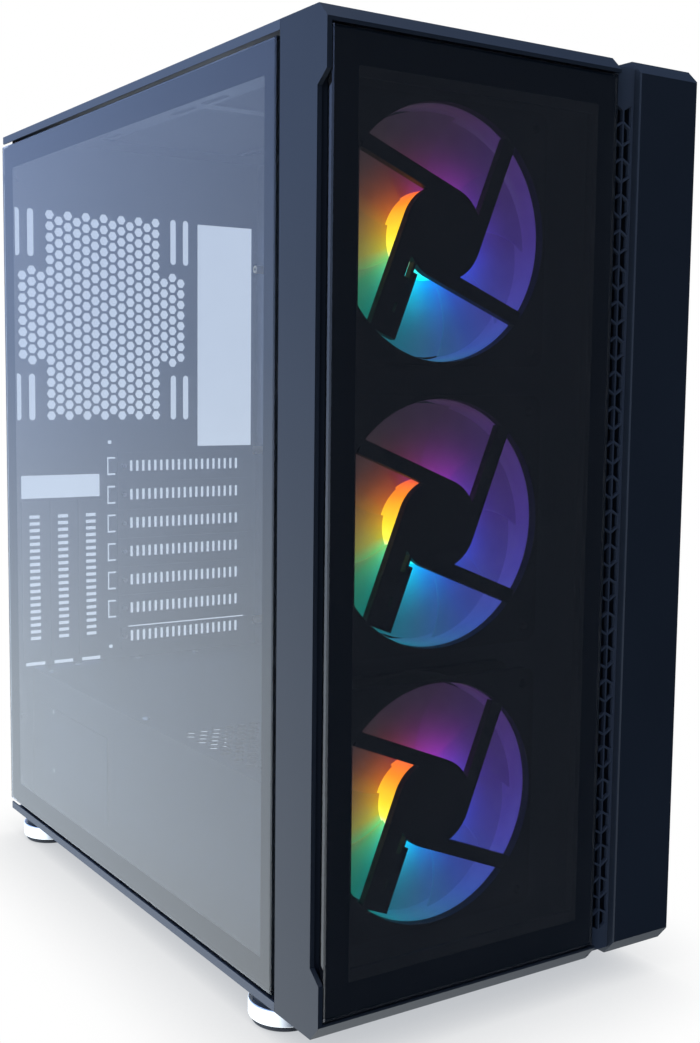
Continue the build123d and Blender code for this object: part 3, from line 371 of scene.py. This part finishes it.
# %% Recipes
class Recipe:
    """A geometry node tree with named inputs, built node by node."""

    def __init__(self, name, inputs):
        self.tree = bpy.data.node_groups.new(name, "GeometryNodeTree")
        face = self.tree.interface
        face.new_socket("Geometry", in_out="OUTPUT", socket_type="NodeSocketGeometry")
        for label, kind in inputs:
            face.new_socket(label, in_out="INPUT", socket_type=f"NodeSocket{kind}")
        self.given = self.tree.nodes.new("NodeGroupInput").outputs
        self.result = self.tree.nodes.new("NodeGroupOutput").inputs["Geometry"]

    def node(self, kind, **sockets):
        return add(self.tree, kind, **sockets)

    def maths(self, operation, first, second=0.0):
        return maths(self.tree, operation, first, second)

    def join(self, *geometry):
        node = self.tree.nodes.new("GeometryNodeJoinGeometry")
        for part in geometry:
            self.tree.links.new(part, node.inputs[0])
        return node.outputs[0]

    def finish(self, geometry, material):
        real = self.node("GeometryNodeRealizeInstances", Geometry=geometry).outputs[0]
        painted = self.node("GeometryNodeSetMaterial", Geometry=real, Material=material)
        self.tree.links.new(painted.outputs[0], self.result)


print("recipe steps:", [step for step in vars(Recipe) if not step.startswith("_")])

# %% [markdown]
# `cook` runs a recipe once and keeps the result as a plain mesh, so that nothing in the finished
# scene depends on a live modifier. A modifier's inputs are set by their identifiers, because two
# inputs may share a name. Where a merge distance is given, points on one spot become one, and the
# faces are turned outwards.

# %% Cooking a recipe
def link(mesh, name, *materials):
    piece = bpy.data.objects.new(name, mesh)
    bpy.context.scene.collection.objects.link(piece)
    for material in materials:
        mesh.materials.append(material)
    return piece


def mesh_from(work, name):
    """Turns a bmesh into a mesh and frees it."""
    mesh = bpy.data.meshes.new(name)
    work.to_mesh(mesh)
    work.free()
    return mesh


def cook(recipe, name, values, merge=0.0):
    """Runs a recipe once and returns its result as a plain mesh object."""
    holder = link(bpy.data.meshes.new(f"{name}_seed"), f"{name}_seed")
    modifier = holder.modifiers.new("recipe", "NODES")
    modifier.node_group = recipe.tree
    for socket in recipe.tree.interface.items_tree:
        if socket.in_out == "INPUT" and socket.name in values:
            modifier[socket.identifier] = values[socket.name]
    graph = bpy.context.evaluated_depsgraph_get()
    mesh = bpy.data.meshes.new_from_object(holder.evaluated_get(graph))
    bpy.data.objects.remove(holder, do_unlink=True)
    if merge:
        work = bmesh.new()
        work.from_mesh(mesh)
        bmesh.ops.remove_doubles(work, verts=work.verts, dist=merge)
        bmesh.ops.recalc_face_normals(work, faces=work.faces)
        work.to_mesh(mesh)
        work.free()
    mesh.name = name
    piece = link(mesh, name)
    print(name, "faces", len(mesh.polygons))
    return piece


# %% [markdown]
# ## Fan blades
# A fan blade is a screw surface: as it goes around the hub it also moves along the axis, and it
# leans back towards its tip. One blade is a flat grid whose points are moved onto that surface,
# then thickened, then copied around the hub. The blades are wide enough to overlap when seen from
# the front, so no light gaps show between them. The copies are points on one spot, each with its
# own turn, which is the shortest way to say "nine times around".

# %% Blade recipe
ROOT_TWIST = 0.35         # how much of the blade's depth is left at its root
ARCH = 0.35               # how hollow the blade is from edge to edge


def blade_recipe(material):
    r = Recipe("fan_blades", [("Centre", "Vector"), ("Root radius", "Float"),
                              ("Tip radius", "Float"), ("Span", "Float"), ("Depth", "Float"),
                              ("Sweep", "Float"), ("Thickness", "Float"), ("Blades", "Int"),
                              ("Root set back", "Float")])
    given = r.given
    grid = r.node("GeometryNodeMeshGrid", Size_X=1.0, Size_Y=1.0, Vertices_X=11, Vertices_Y=9)
    place = r.node("GeometryNodeInputPosition").outputs[0]
    split = r.node("ShaderNodeSeparateXYZ", Vector=place).outputs
    chord = split["X"]
    along = r.maths("ADD", split["Y"], 0.5)
    reach = r.maths("SUBTRACT", given["Tip radius"], given["Root radius"])
    radius = r.maths("ADD", given["Root radius"], r.maths("MULTIPLY", along, reach))
    lean = r.maths("MULTIPLY", r.maths("MULTIPLY", along, along), given["Sweep"])
    angle = r.maths("ADD", r.maths("MULTIPLY", chord, given["Span"]), lean)
    flatter = r.maths("ADD", ROOT_TWIST, r.maths("MULTIPLY", along, 1.0 - ROOT_TWIST))
    arch = r.maths("MULTIPLY", r.maths("MULTIPLY", chord, chord), ARCH)
    rise = r.maths("MULTIPLY", r.maths("ADD", chord, arch), given["Depth"])
    back_lean = r.maths("MULTIPLY", r.maths("SUBTRACT", 1.0, along), given["Root set back"])
    axial = r.maths("ADD", r.maths("MULTIPLY", rise, flatter), back_lean)
    x = r.maths("MULTIPLY", radius, r.maths("COSINE", angle))
    z = r.maths("MULTIPLY", radius, r.maths("SINE", angle))
    curved = r.node("ShaderNodeCombineXYZ", X=x, Y=axial, Z=z).outputs[0]
    skin = r.node("GeometryNodeSetPosition", Geometry=grid.outputs["Mesh"], Position=curved)
    lifted = r.node("GeometryNodeExtrudeMesh", Mesh=skin.outputs[0],
                    Offset_Scale=given["Thickness"], Individual=False)
    back = r.node("GeometryNodeFlipFaces", Mesh=skin.outputs[0])
    solid = r.join(lifted.outputs["Mesh"], back.outputs[0])
    spots = r.node("GeometryNodeMeshLine", Count=given["Blades"], Offset=(0.0, 0.0, 0.0))
    index = r.node("GeometryNodeInputIndex").outputs[0]
    step = r.maths("DIVIDE", 2 * math.pi, given["Blades"])
    turn = r.node("ShaderNodeCombineXYZ", Y=r.maths("MULTIPLY", index, step)).outputs[0]
    ring = r.node("GeometryNodeInstanceOnPoints", Points=spots.outputs[0], Instance=solid,
                  Rotation=turn)
    moved = r.node("GeometryNodeTransform", Geometry=ring.outputs[0], Translation=given["Centre"])
    r.finish(moved.outputs[0], material)
    return r


print("blade root keeps", ROOT_TWIST, "of the depth")

# %% [markdown]
# ## Turned shapes
# The rotor's hub and the lit rim are bodies of revolution. A lathe function spins a short outline
# of (radius, depth) pairs around the fan's axis. Where a pair lies on the axis it makes one point
# instead of a ring, so the pole closes without a hole.

# %% Lathe
LATHE_STEPS = 72


def lathe(name, profile, centre, material, segments=LATHE_STEPS):
    """Closed body of revolution around the fan's axis from (radius, depth) pairs."""
    work = bmesh.new()
    rings = []
    for radius, depth in profile:
        if radius < 1e-6:
            rings.append([work.verts.new((centre.x, centre.y + depth, centre.z))])
            continue
        ring = []
        for step in range(segments):
            angle = 2 * math.pi * step / segments
            ring.append(work.verts.new((centre.x + radius * math.cos(angle), centre.y + depth,
                                        centre.z + radius * math.sin(angle))))
        rings.append(ring)
    for first, second in zip(rings, rings[1:]):
        for step in range(segments):
            after = (step + 1) % segments
            corners = [first[step % len(first)], first[after % len(first)],
                       second[after % len(second)], second[step % len(second)]]
            unique = list(dict.fromkeys(corners))
            if len(unique) > 2:
                work.faces.new(unique)
    bmesh.ops.recalc_face_normals(work, faces=work.faces)
    mesh = mesh_from(work, name)
    for face in mesh.polygons:
        face.use_smooth = True
    return link(mesh, name, material)


print("a lathe ring has", LATHE_STEPS, "steps")

# %% [markdown]
# ## The rotors
# The rotor's hub is a cup: a straight lit wall, a rounded shoulder and a closed back, with an inner
# wall so that the cup has a real thickness. Nine wide blades stand around it. Both are one moving
# part, so they ride on the same body.

# %% Rotors
HUB_RADIUS = 0.0205
HUB_FRONT = 0.0052
HUB_BACK = 0.0212
CUP_WALL = 0.002
CUP_LIP = 0.001
CUP_BASE = 0.0015
SHOULDER = 0.002
SHOULDER_CUT = 0.0006     # how far the middle of the shoulder lies inside its sharp corner
GLOW = 5.8
HUB_GLOW = GLOW * 1.3
BLADE_MIDDLE = Vector((0.0, 0.0158, 0.0))
BLADE_SIZES = {"Root radius": 0.0200, "Tip radius": 0.0562, "Span": math.radians(60.0),
               "Depth": 0.0100, "Sweep": math.radians(-14.0), "Thickness": 0.0010, "Blades": 9,
               "Root set back": 0.0028}
MERGE = 0.00001
HUB_CUP = [(HUB_RADIUS - CUP_LIP, HUB_FRONT), (HUB_RADIUS, HUB_FRONT),
           (HUB_RADIUS, HUB_BACK - SHOULDER),
           (HUB_RADIUS - SHOULDER_CUT, HUB_BACK - SHOULDER_CUT),
           (HUB_RADIUS - SHOULDER, HUB_BACK), (0.0, HUB_BACK), (0.0, HUB_BACK - CUP_BASE),
           (HUB_RADIUS - CUP_WALL, HUB_BACK - CUP_BASE), (HUB_RADIUS - CUP_WALL, HUB_FRONT),
           (HUB_RADIUS - CUP_LIP, HUB_FRONT)]

for number in (1, 2, 3):
    centre = fan_centre(number)
    blade_light = fan_glow(f"blade_glow_{number}", centre, GLOW, NEAR_BLADES, FAR_BLADES)
    hub_light = fan_glow(f"hub_glow_{number}", centre, HUB_GLOW, HUB_WHEEL, HUB_WHEEL)
    recipe = blade_recipe(blade_light)
    blades = cook(recipe, f"rotor_blades_{number}", {"Centre": centre + BLADE_MIDDLE, **BLADE_SIZES},
                  merge=MERGE)
    hub = lathe(f"rotor_hub_{number}", HUB_CUP, centre, hub_light)
    for piece in (blades, hub):
        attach(piece, f"impeller_{number}")
    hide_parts(f"fan_impeller_{number}")

# %% [markdown]
# ## The lit rim of each fan
# Just inside the frame, a thin frosted sleeve lines the bore. The band it shows, a little brighter
# than the blades, is painted light: the sleeve glows itself, standing in for the light that the
# blades throw outwards onto it. It is one more turned shape: a tube with a small lip at the front.

# %% Rim sleeves
SLEEVE_RADII = 0.0577, 0.0584
SLEEVE_DEPTHS = 0.0044, 0.0245
RIM_SLEEVE = [(SLEEVE_RADII[1], SLEEVE_DEPTHS[0] + 0.0002),
              (SLEEVE_RADII[1] - 0.0004, SLEEVE_DEPTHS[0]),
              (SLEEVE_RADII[0], SLEEVE_DEPTHS[0] + 0.0004), (SLEEVE_RADII[0], SLEEVE_DEPTHS[1]),
              (SLEEVE_RADII[1], SLEEVE_DEPTHS[1]), (SLEEVE_RADII[1], SLEEVE_DEPTHS[0] + 0.0002)]

for number in (1, 2, 3):
    centre = fan_centre(number)
    rim_light = fan_glow(f"rim_glow_{number}", centre, GLOW, RIM_WHEEL, RIM_WHEEL)
    rim = lathe(f"fan_rim_sleeve_{number}", RIM_SLEEVE, centre, rim_light, segments=96)
    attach(rim, "chassis")
print("sleeve wall", round(SLEEVE_RADII[1] - SLEEVE_RADII[0], 5))

# %% [markdown]
# ## Dust filters
# A dust filter is nylon cloth, woven from two sets of crossing threads and welded into a plastic
# frame. The recipe lays one long thread beside the next, does the same across them, and leaves
# real holes between. The two sets lie one on the other instead of over and under, which can't be
# told apart at this size and takes far fewer faces.

# %% Filter recipe
def weave_recipe(material):
    r = Recipe("filter_weave", [("Corner", "Vector"), ("Width", "Float"), ("Length", "Float"),
                                ("Pitch", "Float"), ("Thread", "Float")])
    given = r.given

    def threads(count, pitch_vector, size, start):
        line = r.node("GeometryNodeMeshLine", Count=count, Offset=pitch_vector)
        bar = r.node("GeometryNodeMeshCube", Size=size)
        laid = r.node("GeometryNodeInstanceOnPoints", Points=line.outputs[0],
                      Instance=bar.outputs["Mesh"])
        return r.node("GeometryNodeTransform", Geometry=laid.outputs[0],
                      Translation=start).outputs[0]

    def vector(x=0.0, y=0.0, z=0.0):
        return r.node("ShaderNodeCombineXYZ", X=x, Y=y, Z=z).outputs[0]

    half_width = r.maths("MULTIPLY", given["Width"], 0.5)
    half_length = r.maths("MULTIPLY", given["Length"], 0.5)
    columns = r.maths("FLOOR", r.maths("DIVIDE", given["Width"], given["Pitch"]))
    rows = r.maths("FLOOR", r.maths("DIVIDE", given["Length"], given["Pitch"]))
    down = threads(columns, vector(x=given["Pitch"]),
                   vector(given["Thread"], given["Length"], given["Thread"]),
                   vector(given["Pitch"], half_length, given["Thread"]))
    across = threads(rows, vector(y=given["Pitch"]),
                     vector(given["Width"], given["Thread"], given["Thread"]),
                     vector(half_width, given["Pitch"], 0.0))
    moved = r.node("GeometryNodeTransform", Geometry=r.join(down, across),
                   Translation=given["Corner"])
    r.finish(moved.outputs[0], material)
    return r


nylon = grained("nylon_thread", (0.030, 0.031, 0.034), 0.6, 0.3, 0.02)
weave = weave_recipe(nylon)
print("weave inputs:", [socket.name for socket in weave.tree.interface.items_tree])

# %% [markdown]
# The frame is a flat ring with cut corners. Four outlines, outer and inner at two heights, are
# joined by strips of faces, and its sharp edges get a small bevel, as moulded edges have.

# %% Filter frame
INNER_CUT = 0.6           # the inner corners are cut by this share of the outer ones
BEVEL = 0.00025
SHARP = 0.5               # radians: edges that turn more than this get the bevel


def join_loops(work, pairs):
    """Closes strips of faces between pairs of loops with equal numbers of points."""
    for first, second in pairs:
        count = len(first)
        for step in range(count):
            after = (step + 1) % count
            work.faces.new((first[step], first[after], second[after], second[step]))
    bmesh.ops.recalc_face_normals(work, faces=work.faces)


def ring_frame(name, low, high, border, corner, material):
    """Rectangular ring with cut corners, between two opposite corners of its box."""
    def outline(inset, cut):
        x0, x1, y0, y1 = low.x + inset, high.x - inset, low.y + inset, high.y - inset
        return [(x0 + cut, y0), (x1 - cut, y0), (x1, y0 + cut), (x1, y1 - cut),
                (x1 - cut, y1), (x0 + cut, y1), (x0, y1 - cut), (x0, y0 + cut)]

    work = bmesh.new()
    loops = []
    for z in (low.z, high.z):
        for inset, cut in ((0.0, corner), (border, corner * INNER_CUT)):
            loops.append([work.verts.new((x, y, z)) for x, y in outline(inset, cut)])
    outer_low, inner_low, outer_high, inner_high = loops
    join_loops(work, ((outer_low, outer_high), (outer_high, inner_high),
                      (inner_high, inner_low), (inner_low, outer_low)))
    edges = [edge for edge in work.edges if edge.calc_face_angle(0.0) > SHARP]
    bmesh.ops.bevel(work, geom=edges, offset=BEVEL, segments=2, affect="EDGES")
    return link(mesh_from(work, name), name, material)


print("frame edges are rounded by", BEVEL, "m")

# %% [markdown]
# Both filters are made by the same two helpers, fitted to the boxes of the plain parts they stand
# for. The bottom part's box holds its grip too, so the frame takes only the top of the box and
# stops short of the rear end.

# %% Filters
PITCH = 0.0016
THREAD = 0.0004
THREAD_LIFT = 0.0005      # middle of the lower threads above the frame's underside
CLOTH_INSET = 0.6         # the cloth starts this share of the border inside the frame's edge
CORNER_CUT = 0.004
BORDERS = {"top_filter": 0.008, "bottom_filter": 0.006}
BOTTOM_THICKNESS = 0.0015
GRIP_ROOM = 0.003

filter_frame = grained("filter_frame_black", (0.020, 0.021, 0.024), 0.48, 0.4, 0.04)

for node_name, border in BORDERS.items():
    low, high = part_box(node_name)
    if node_name == "bottom_filter":
        low = Vector((low.x, low.y, high.z - BOTTOM_THICKNESS))
        high = Vector((high.x, high.y - GRIP_ROOM, high.z))
    inset = border * CLOTH_INSET
    cloth = cook(weave, f"{node_name}_cloth", {
        "Corner": Vector((low.x + inset, low.y + inset, low.z + THREAD_LIFT)),
        "Width": high.x - low.x - 2 * inset, "Length": high.y - low.y - 2 * inset,
        "Pitch": PITCH, "Thread": THREAD})
    ring = ring_frame(f"{node_name}_frame", low, high, border, CORNER_CUT, filter_frame)
    for piece in (cloth, ring):
        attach(piece, node_name)
    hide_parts(node_name)

# %% [markdown]
# The bottom filter has a finger grip at its rear end. It is a small thick tab, so it is drawn as
# a box with rounded edges.

# %% Filter grip
GRIP_HALF_WIDTH = 0.020
GRIP_LENGTH = 0.005
GRIP_ROUNDING = 0.0008


def rounded_block(name, low, high, radius, material):
    """Box between two corners with all its edges rounded."""
    work = bmesh.new()
    bmesh.ops.create_cube(work, size=1.0)
    size, middle = high - low, (high + low) / 2
    for vert in work.verts:
        vert.co = Vector([vert.co[i] * size[i] + middle[i] for i in range(3)])
    bmesh.ops.bevel(work, geom=work.edges[:], offset=radius, segments=3, affect="EDGES")
    return link(mesh_from(work, name), name, material)


low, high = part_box("bottom_filter")
middle_x = (low.x + high.x) / 2
grip_low = Vector((middle_x - GRIP_HALF_WIDTH, high.y - GRIP_LENGTH, low.z))
grip_high = Vector((middle_x + GRIP_HALF_WIDTH, high.y, high.z))
grip = rounded_block("bottom_filter_grip", grip_low, grip_high, GRIP_ROUNDING, filter_frame)
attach(grip, "bottom_filter")
print("grip faces", len(grip.data.polygons))

# %% [markdown]
# ## The painted borders of the glass
# Tempered panels have a black ceramic border fired onto the inside of the glass. It hides the
# steel frame behind the side pane and the foam blocks behind the front one. Here it is a ring a
# few hundredths of a millimetre thick, just inside the pane's rear face, with rounded corners.
# One helper draws it flat, and a function that places each point turns it into either pane's plane.

# %% Border helpers
PANE_RIM = 0.0008         # glass left bare outside the paint
OUTER_ROUNDING, INNER_ROUNDING = 0.002, 0.001
PAINT_DEPTHS = 0.00006, 0.00001
ARC_STEPS, ARC_TURN = 7, 15       # points in each rounded corner, degrees between them


def rounded_outline(u_range, v_range, radius):
    """Points around a rectangle with rounded corners."""
    points = []
    corners = ((u_range[1], v_range[1], 0), (u_range[0], v_range[1], 90),
               (u_range[0], v_range[0], 180), (u_range[1], v_range[0], 270))
    for u, v, start in corners:
        cu = u - math.copysign(radius, u - sum(u_range) / 2)
        cv = v - math.copysign(radius, v - sum(v_range) / 2)
        for step in range(ARC_STEPS):
            angle = math.radians(start + step * ARC_TURN)
            points.append((cu + radius * math.cos(angle), cv + radius * math.sin(angle)))
    return points


def painted_border(name, u_range, v_range, margins, place, material):
    """Thin ring just inside a pane; margins are left, right, bottom, top of the clear window."""
    work = bmesh.new()
    outer = rounded_outline((u_range[0] + PANE_RIM, u_range[1] - PANE_RIM),
                            (v_range[0] + PANE_RIM, v_range[1] - PANE_RIM), OUTER_ROUNDING)
    inner = rounded_outline((u_range[0] + margins[0], u_range[1] - margins[1]),
                            (v_range[0] + margins[2], v_range[1] - margins[3]), INNER_ROUNDING)
    loops = []
    for depth in PAINT_DEPTHS:
        for outline in (outer, inner):
            loops.append([work.verts.new(place(u, v, depth)) for u, v in outline])
    outer_a, inner_a, outer_b, inner_b = loops
    join_loops(work, ((outer_a, outer_b), (outer_b, inner_b), (inner_b, inner_a),
                      (inner_a, outer_a)))
    return link(mesh_from(work, name), name, material)


print("paint thickness", round(PAINT_DEPTHS[0] - PAINT_DEPTHS[1], 6))

# %% [markdown]
# Each border rides with its own pane. Margins are given as left, right, bottom and top of the
# pane, where left and right are front and rear on the side pane, whose border is widest at the rear.

# %% Painted borders
SIDE_MARGINS = 0.0118, 0.0166, 0.0141, 0.0150
FRONT_MARGINS = 0.0145, 0.0110, 0.0150, 0.0150

ceramic = grained("ceramic_border", (0.009, 0.011, 0.015), 0.35, 0.2, 0.005, gloss=0.3)
low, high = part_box("side_glass")
side_back = high.x
side_border = painted_border("side_glass_border", (low.y, high.y), (low.z, high.z),
                             SIDE_MARGINS,
                             lambda u, v, depth: (side_back - depth, u, v), ceramic)
front_back = glass_high.y
front_border = painted_border("front_glass_border", (glass_low.x, glass_high.x),
                              (glass_low.z, glass_high.z), FRONT_MARGINS,
                              lambda u, v, depth: (u, front_back - depth, v), ceramic)
for border, body in ((side_border, "left_panel"), (front_border, "front_cover")):
    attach(border, body)
print("borders:", side_border.name, front_border.name)

# %% [markdown]
# ## Giving each case part its finish
# The imported parts keep their shape and only get a material. Two small parts at the top need a
# finish of their own: the light strip's frosted lens, which glows a little, and the circuit
# board's green varnish, which is glossy over a fine weave.

# %% Lens and circuit board
lens_clear, lens_tree, lens_shader = start_material("frosted_lens")
lens_shader.inputs["Emission Color"].default_value = (0.75, 0.85, 1.0, 1.0)
lens_shader.inputs["Emission Strength"].default_value = 0.6
lens_tree.links.new(spread(lens_tree, noise(lens_tree, 900.0), 0.3, 0.55),
                    lens_shader.inputs["Roughness"])
solder_mask = grained("green_solder_mask", (0.012, 0.055, 0.035), 0.3, 0.6, 0.02, coat=0.5)
print("special finishes:", lens_clear.name, solder_mask.name)

# %% [markdown]
# The list below goes by what each real part is made of. Parts that come in rows are named by a
# loop, and the last line reports any part that was forgotten.

# %% Assign finishes
SLOT_COVERS = [f"slot_cover_{number}" for number in range(1, 8)]
FAN_FRAMES = [f"fan_frame_{number}" for number in (1, 2, 3)]
THUMBSCREWS = [f"thumbscrew_{side}_{level}" for side in ("left", "right")
               for level in ("lower", "upper")]
FINISHES = {
    powder_coat: ["chassis_floor", "chassis_roof", "chassis_rear_wall", "chassis_front_frame",
                  "motherboard_tray", "psu_shroud_top", "psu_shroud_side", "psu_shroud_plate",
                  *SLOT_COVERS, "vertical_slot_covers", "slot_clamp_strip", "drive_cage",
                  "ssd_bracket", "side_glass_carrier", "right_panel"],
    bezel_grain: ["front_bezel", "bezel_pillar", "io_strip", "power_button", "reset_button"],
    grille_black: ["groove_grille", "audio_jacks"],
    fan_black: [*FAN_FRAMES, "foot_cores"],
    tray_grey: ["drive_tray_lower", "drive_tray_upper", "fan_controller"],
    rubber_black: ["foot_pads", "cable_grommets"],
    foam_black: ["psu_rest_pads", "front_glass_spacers"],
    satin_silver: ["foot_rings"],
    zinc_plate: ["usb_ports", "slot_screws", "foot_screws"],
    black_screw: ["fan_screws", *THUMBSCREWS],
    raw_brass: ["motherboard_standoffs"],
    copper_wire: ["fan_stators"],
    smoked_front: ["front_glass"],
    side_tint: ["side_glass"],
    lens_clear: ["led_lens"],
    solder_mask: ["io_board"],
}
for material, names in FINISHES.items():
    for name in names:
        mesh = nodes[name].data
        mesh.materials.clear()
        mesh.materials.append(material)
finished = {name for names in FINISHES.values() for name in names}
print("nodes without a finish:", sorted(set(nodes) - finished))

# %% [markdown]
# ## Small screw heads
# The shroud is held by small bright screws. They sit in straight lines at equal steps, so a recipe
# takes a start, a step and a count, and puts one low dome on every point.

# %% Screw recipe
def screw_line_recipe(material):
    r = Recipe("screw_line", [("Start", "Vector"), ("Step", "Vector"), ("Count", "Int"),
                              ("Radius", "Float"), ("Dome", "Vector")])
    given = r.given
    line = r.node("GeometryNodeMeshLine", Count=given["Count"], Offset=given["Step"])
    ball = r.node("GeometryNodeMeshUVSphere", Segments=16, Rings=8, Radius=given["Radius"])
    low = r.node("GeometryNodeTransform", Geometry=ball.outputs["Mesh"], Scale=given["Dome"])
    set_out = r.node("GeometryNodeInstanceOnPoints", Points=line.outputs[0],
                     Instance=low.outputs[0])
    moved = r.node("GeometryNodeTransform", Geometry=set_out.outputs[0],
                   Translation=given["Start"])
    r.finish(moved.outputs[0], material)
    return r


screw_line = screw_line_recipe(zinc_plate)
print("recipes so far:", len(bpy.data.node_groups))

# %% [markdown]
# One line stands on the shroud's outer side, one runs along its top near the glass and one along
# the rear wall. A dome is flattened along the direction in which it stands out of the sheet.

# %% Screw heads
HEAD_RADIUS = 0.0024
DOME = 0.45               # height of a head as a share of its radius
OUT_OF_SIDE, OUT_OF_TOP = Vector((DOME, 1.0, 1.0)), Vector((1.0, 1.0, DOME))

side_low, side_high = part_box("psu_shroud_side")
top_low, top_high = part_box("psu_shroud_top")
back_y = side_high.y
SCREW_LINES = {
    "shroud_side_screws": (Vector((side_low.x, back_y - 0.0408, CASE_Z + 0.035)),
                           Vector((0.0, 0.0, 0.040)), 2, OUT_OF_SIDE),
    "shroud_edge_screws": (Vector((side_low.x + 0.006, top_low.y + 0.020, top_high.z)),
                           Vector((0.0, 0.150, 0.0)), 3, OUT_OF_TOP),
    "shroud_wall_screws": (Vector((top_low.x + 0.030, back_y - 0.008, top_high.z)),
                           Vector((0.045, 0.0, 0.0)), 3, OUT_OF_TOP),
}
for name, (start, step, count, dome) in SCREW_LINES.items():
    heads = cook(screw_line, name, {"Start": start, "Step": step, "Count": count,
                                    "Radius": HEAD_RADIUS, "Dome": dome})
    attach(heads, "chassis")

# %% [markdown]
# ## Floor and light
# Dark glossy things show what stands around them, so the surroundings matter as much as the
# lamps. The studio is a pale sweep: the floor turns up into the wall with no line between them.
# That is easiest to build as a sky colour which is bright below, dim above, and dark towards the
# front right, where the black front glass looks. The floor itself is a white sheet with a painted
# contact shadow: it darkens a little where the feet stand on it.

# %% Floor
FLOOR_SIZE = 14.0
FLOOR_GAP = 0.0002        # keeps the floor just clear of the feet
SHADOW_REACH = 0.09


def make_floor():
    bpy.ops.mesh.primitive_plane_add(size=FLOOR_SIZE, location=(0.0, 0.0, -FLOOR_GAP))
    floor = bpy.context.object
    floor.name = "studio_floor"
    material = bpy.data.materials.new("studio_floor")
    material.use_nodes = True
    tree = material.node_tree
    tree.nodes.remove(tree.nodes["Principled BSDF"])
    # Painted contact shadow: ambient occlusion darkens the floor's white glow near the feet.
    near = add(tree, "ShaderNodeAmbientOcclusion", Distance=SHADOW_REACH)
    tone = ramp(tree, near.outputs["AO"], [(0.1, (0.52, 0.54, 0.57)), (0.9, (1.0, 1.0, 1.0))])
    pale = add(tree, "ShaderNodeEmission", Color=tone)
    clear = tree.nodes.new("ShaderNodeBsdfTransparent")
    path = tree.nodes.new("ShaderNodeLightPath")
    mix = tree.nodes.new("ShaderNodeMixShader")
    tree.links.new(path.outputs["Is Camera Ray"], mix.inputs[0])
    tree.links.new(clear.outputs[0], mix.inputs[1])
    tree.links.new(pale.outputs[0], mix.inputs[2])
    tree.links.new(mix.outputs[0], tree.nodes["Material Output"].inputs["Surface"])
    floor.data.materials.append(material)
    return floor


print("stage:", make_floor().name)

# %% [markdown]
# Three large soft lamps shape the case: one overhead, one from the left for the glass side, and
# a weak one high in front. They are broad, so edges get a soft line of light and no hard shadow.
# The left one is kept out of reflections, or the panes would show it as a bright rectangle.

# %% Lamps
def soft_light(name, place, target, size, power, colour, mirrored=True):
    data = bpy.data.lights.new(name, "AREA")
    data.shape = "RECTANGLE"
    data.size, data.size_y = size
    data.energy = power
    data.color = colour
    lamp = bpy.data.objects.new(name, data)
    bpy.context.scene.collection.objects.link(lamp)
    lamp.location = place
    lamp.rotation_mode = "QUATERNION"
    lamp.rotation_quaternion = (Vector(target) - Vector(place)).to_track_quat("-Z", "Y")
    lamp.visible_glossy = mirrored


soft_light("overhead", (-0.3, 0.0, 2.2), (0.0, 0.0, 0.2), (2.2, 2.2), 20.0, (0.90, 0.95, 1.0))
soft_light("left_side", (-2.0, -0.6, 0.9), (0.0, 0.0, 0.2), (1.2, 1.2), 36.0, (0.72, 0.86, 1.0),
           mirrored=False)
soft_light("high_front", (0.5, -1.6, 2.2), (0.0, 0.0, 0.25), (1.0, 0.6), 7.0, (0.86, 0.93, 1.0))
print("lamps:", [lamp.name for lamp in bpy.data.lights])

# %% [markdown]
# The surrounding colour reads the direction of the ray. Its Z part says how far up or down the ray
# points, and X less Y says whether it points to the front right or the back left. What the camera
# sees directly or through glass is plain white instead, as in a catalogue picture.

# %% Surroundings
SKY = [(0.0, (0.88, 0.95, 1.00)), (0.3, (0.76, 0.87, 1.00)), (0.55, (0.42, 0.55, 0.84)),
       (0.8, (0.29, 0.42, 0.80)), (1.0, (0.20, 0.30, 0.56))]
SKY_HEIGHTS = -0.50, 0.45
SKY_STRENGTH = 1.95
DARK_CORNER = (0.014, 0.027, 0.052)
CORNER_RANGE = -0.4, 0.9


def make_world():
    world = bpy.data.worlds.new("studio")
    bpy.context.scene.world = world
    world.use_nodes = True
    tree = world.node_tree
    way = tree.nodes.new("ShaderNodeTexCoord").outputs["Generated"]
    split = add(tree, "ShaderNodeSeparateXYZ", Vector=way)
    height = add(tree, "ShaderNodeMapRange", Value=split.outputs["Z"])
    height.inputs["From Min"].default_value, height.inputs["From Max"].default_value = SKY_HEIGHTS
    sweep = ramp(tree, height.outputs["Result"], SKY)
    forward = maths(tree, "SUBTRACT", split.outputs["X"], split.outputs["Y"])
    side = add(tree, "ShaderNodeMapRange", Value=forward)
    side.interpolation_type = "SMOOTHSTEP"
    side.inputs["From Min"].default_value, side.inputs["From Max"].default_value = CORNER_RANGE
    around = blend_colour(tree, sweep, DARK_CORNER, side.outputs["Result"])
    surroundings = tree.nodes["Background"]
    tree.links.new(around, surroundings.inputs["Color"])
    surroundings.inputs["Strength"].default_value = SKY_STRENGTH
    backdrop = tree.nodes.new("ShaderNodeBackground")
    backdrop.inputs["Color"].default_value = (1.0, 1.0, 1.0, 1.0)
    path = tree.nodes.new("ShaderNodeLightPath")
    looked_at = maths(tree, "MAXIMUM", path.outputs["Is Camera Ray"],
                      path.outputs["Is Transmission Ray"])
    mix = tree.nodes.new("ShaderNodeMixShader")
    tree.links.new(looked_at, mix.inputs[0])
    tree.links.new(surroundings.outputs[0], mix.inputs[1])
    tree.links.new(backdrop.outputs[0], mix.inputs[2])
    tree.links.new(mix.outputs[0], tree.nodes["World Output"].inputs["Surface"])


make_world()
bpy.context.scene.view_settings.view_transform = "Standard"
print("world:", bpy.context.scene.world.name)

# %% [markdown]
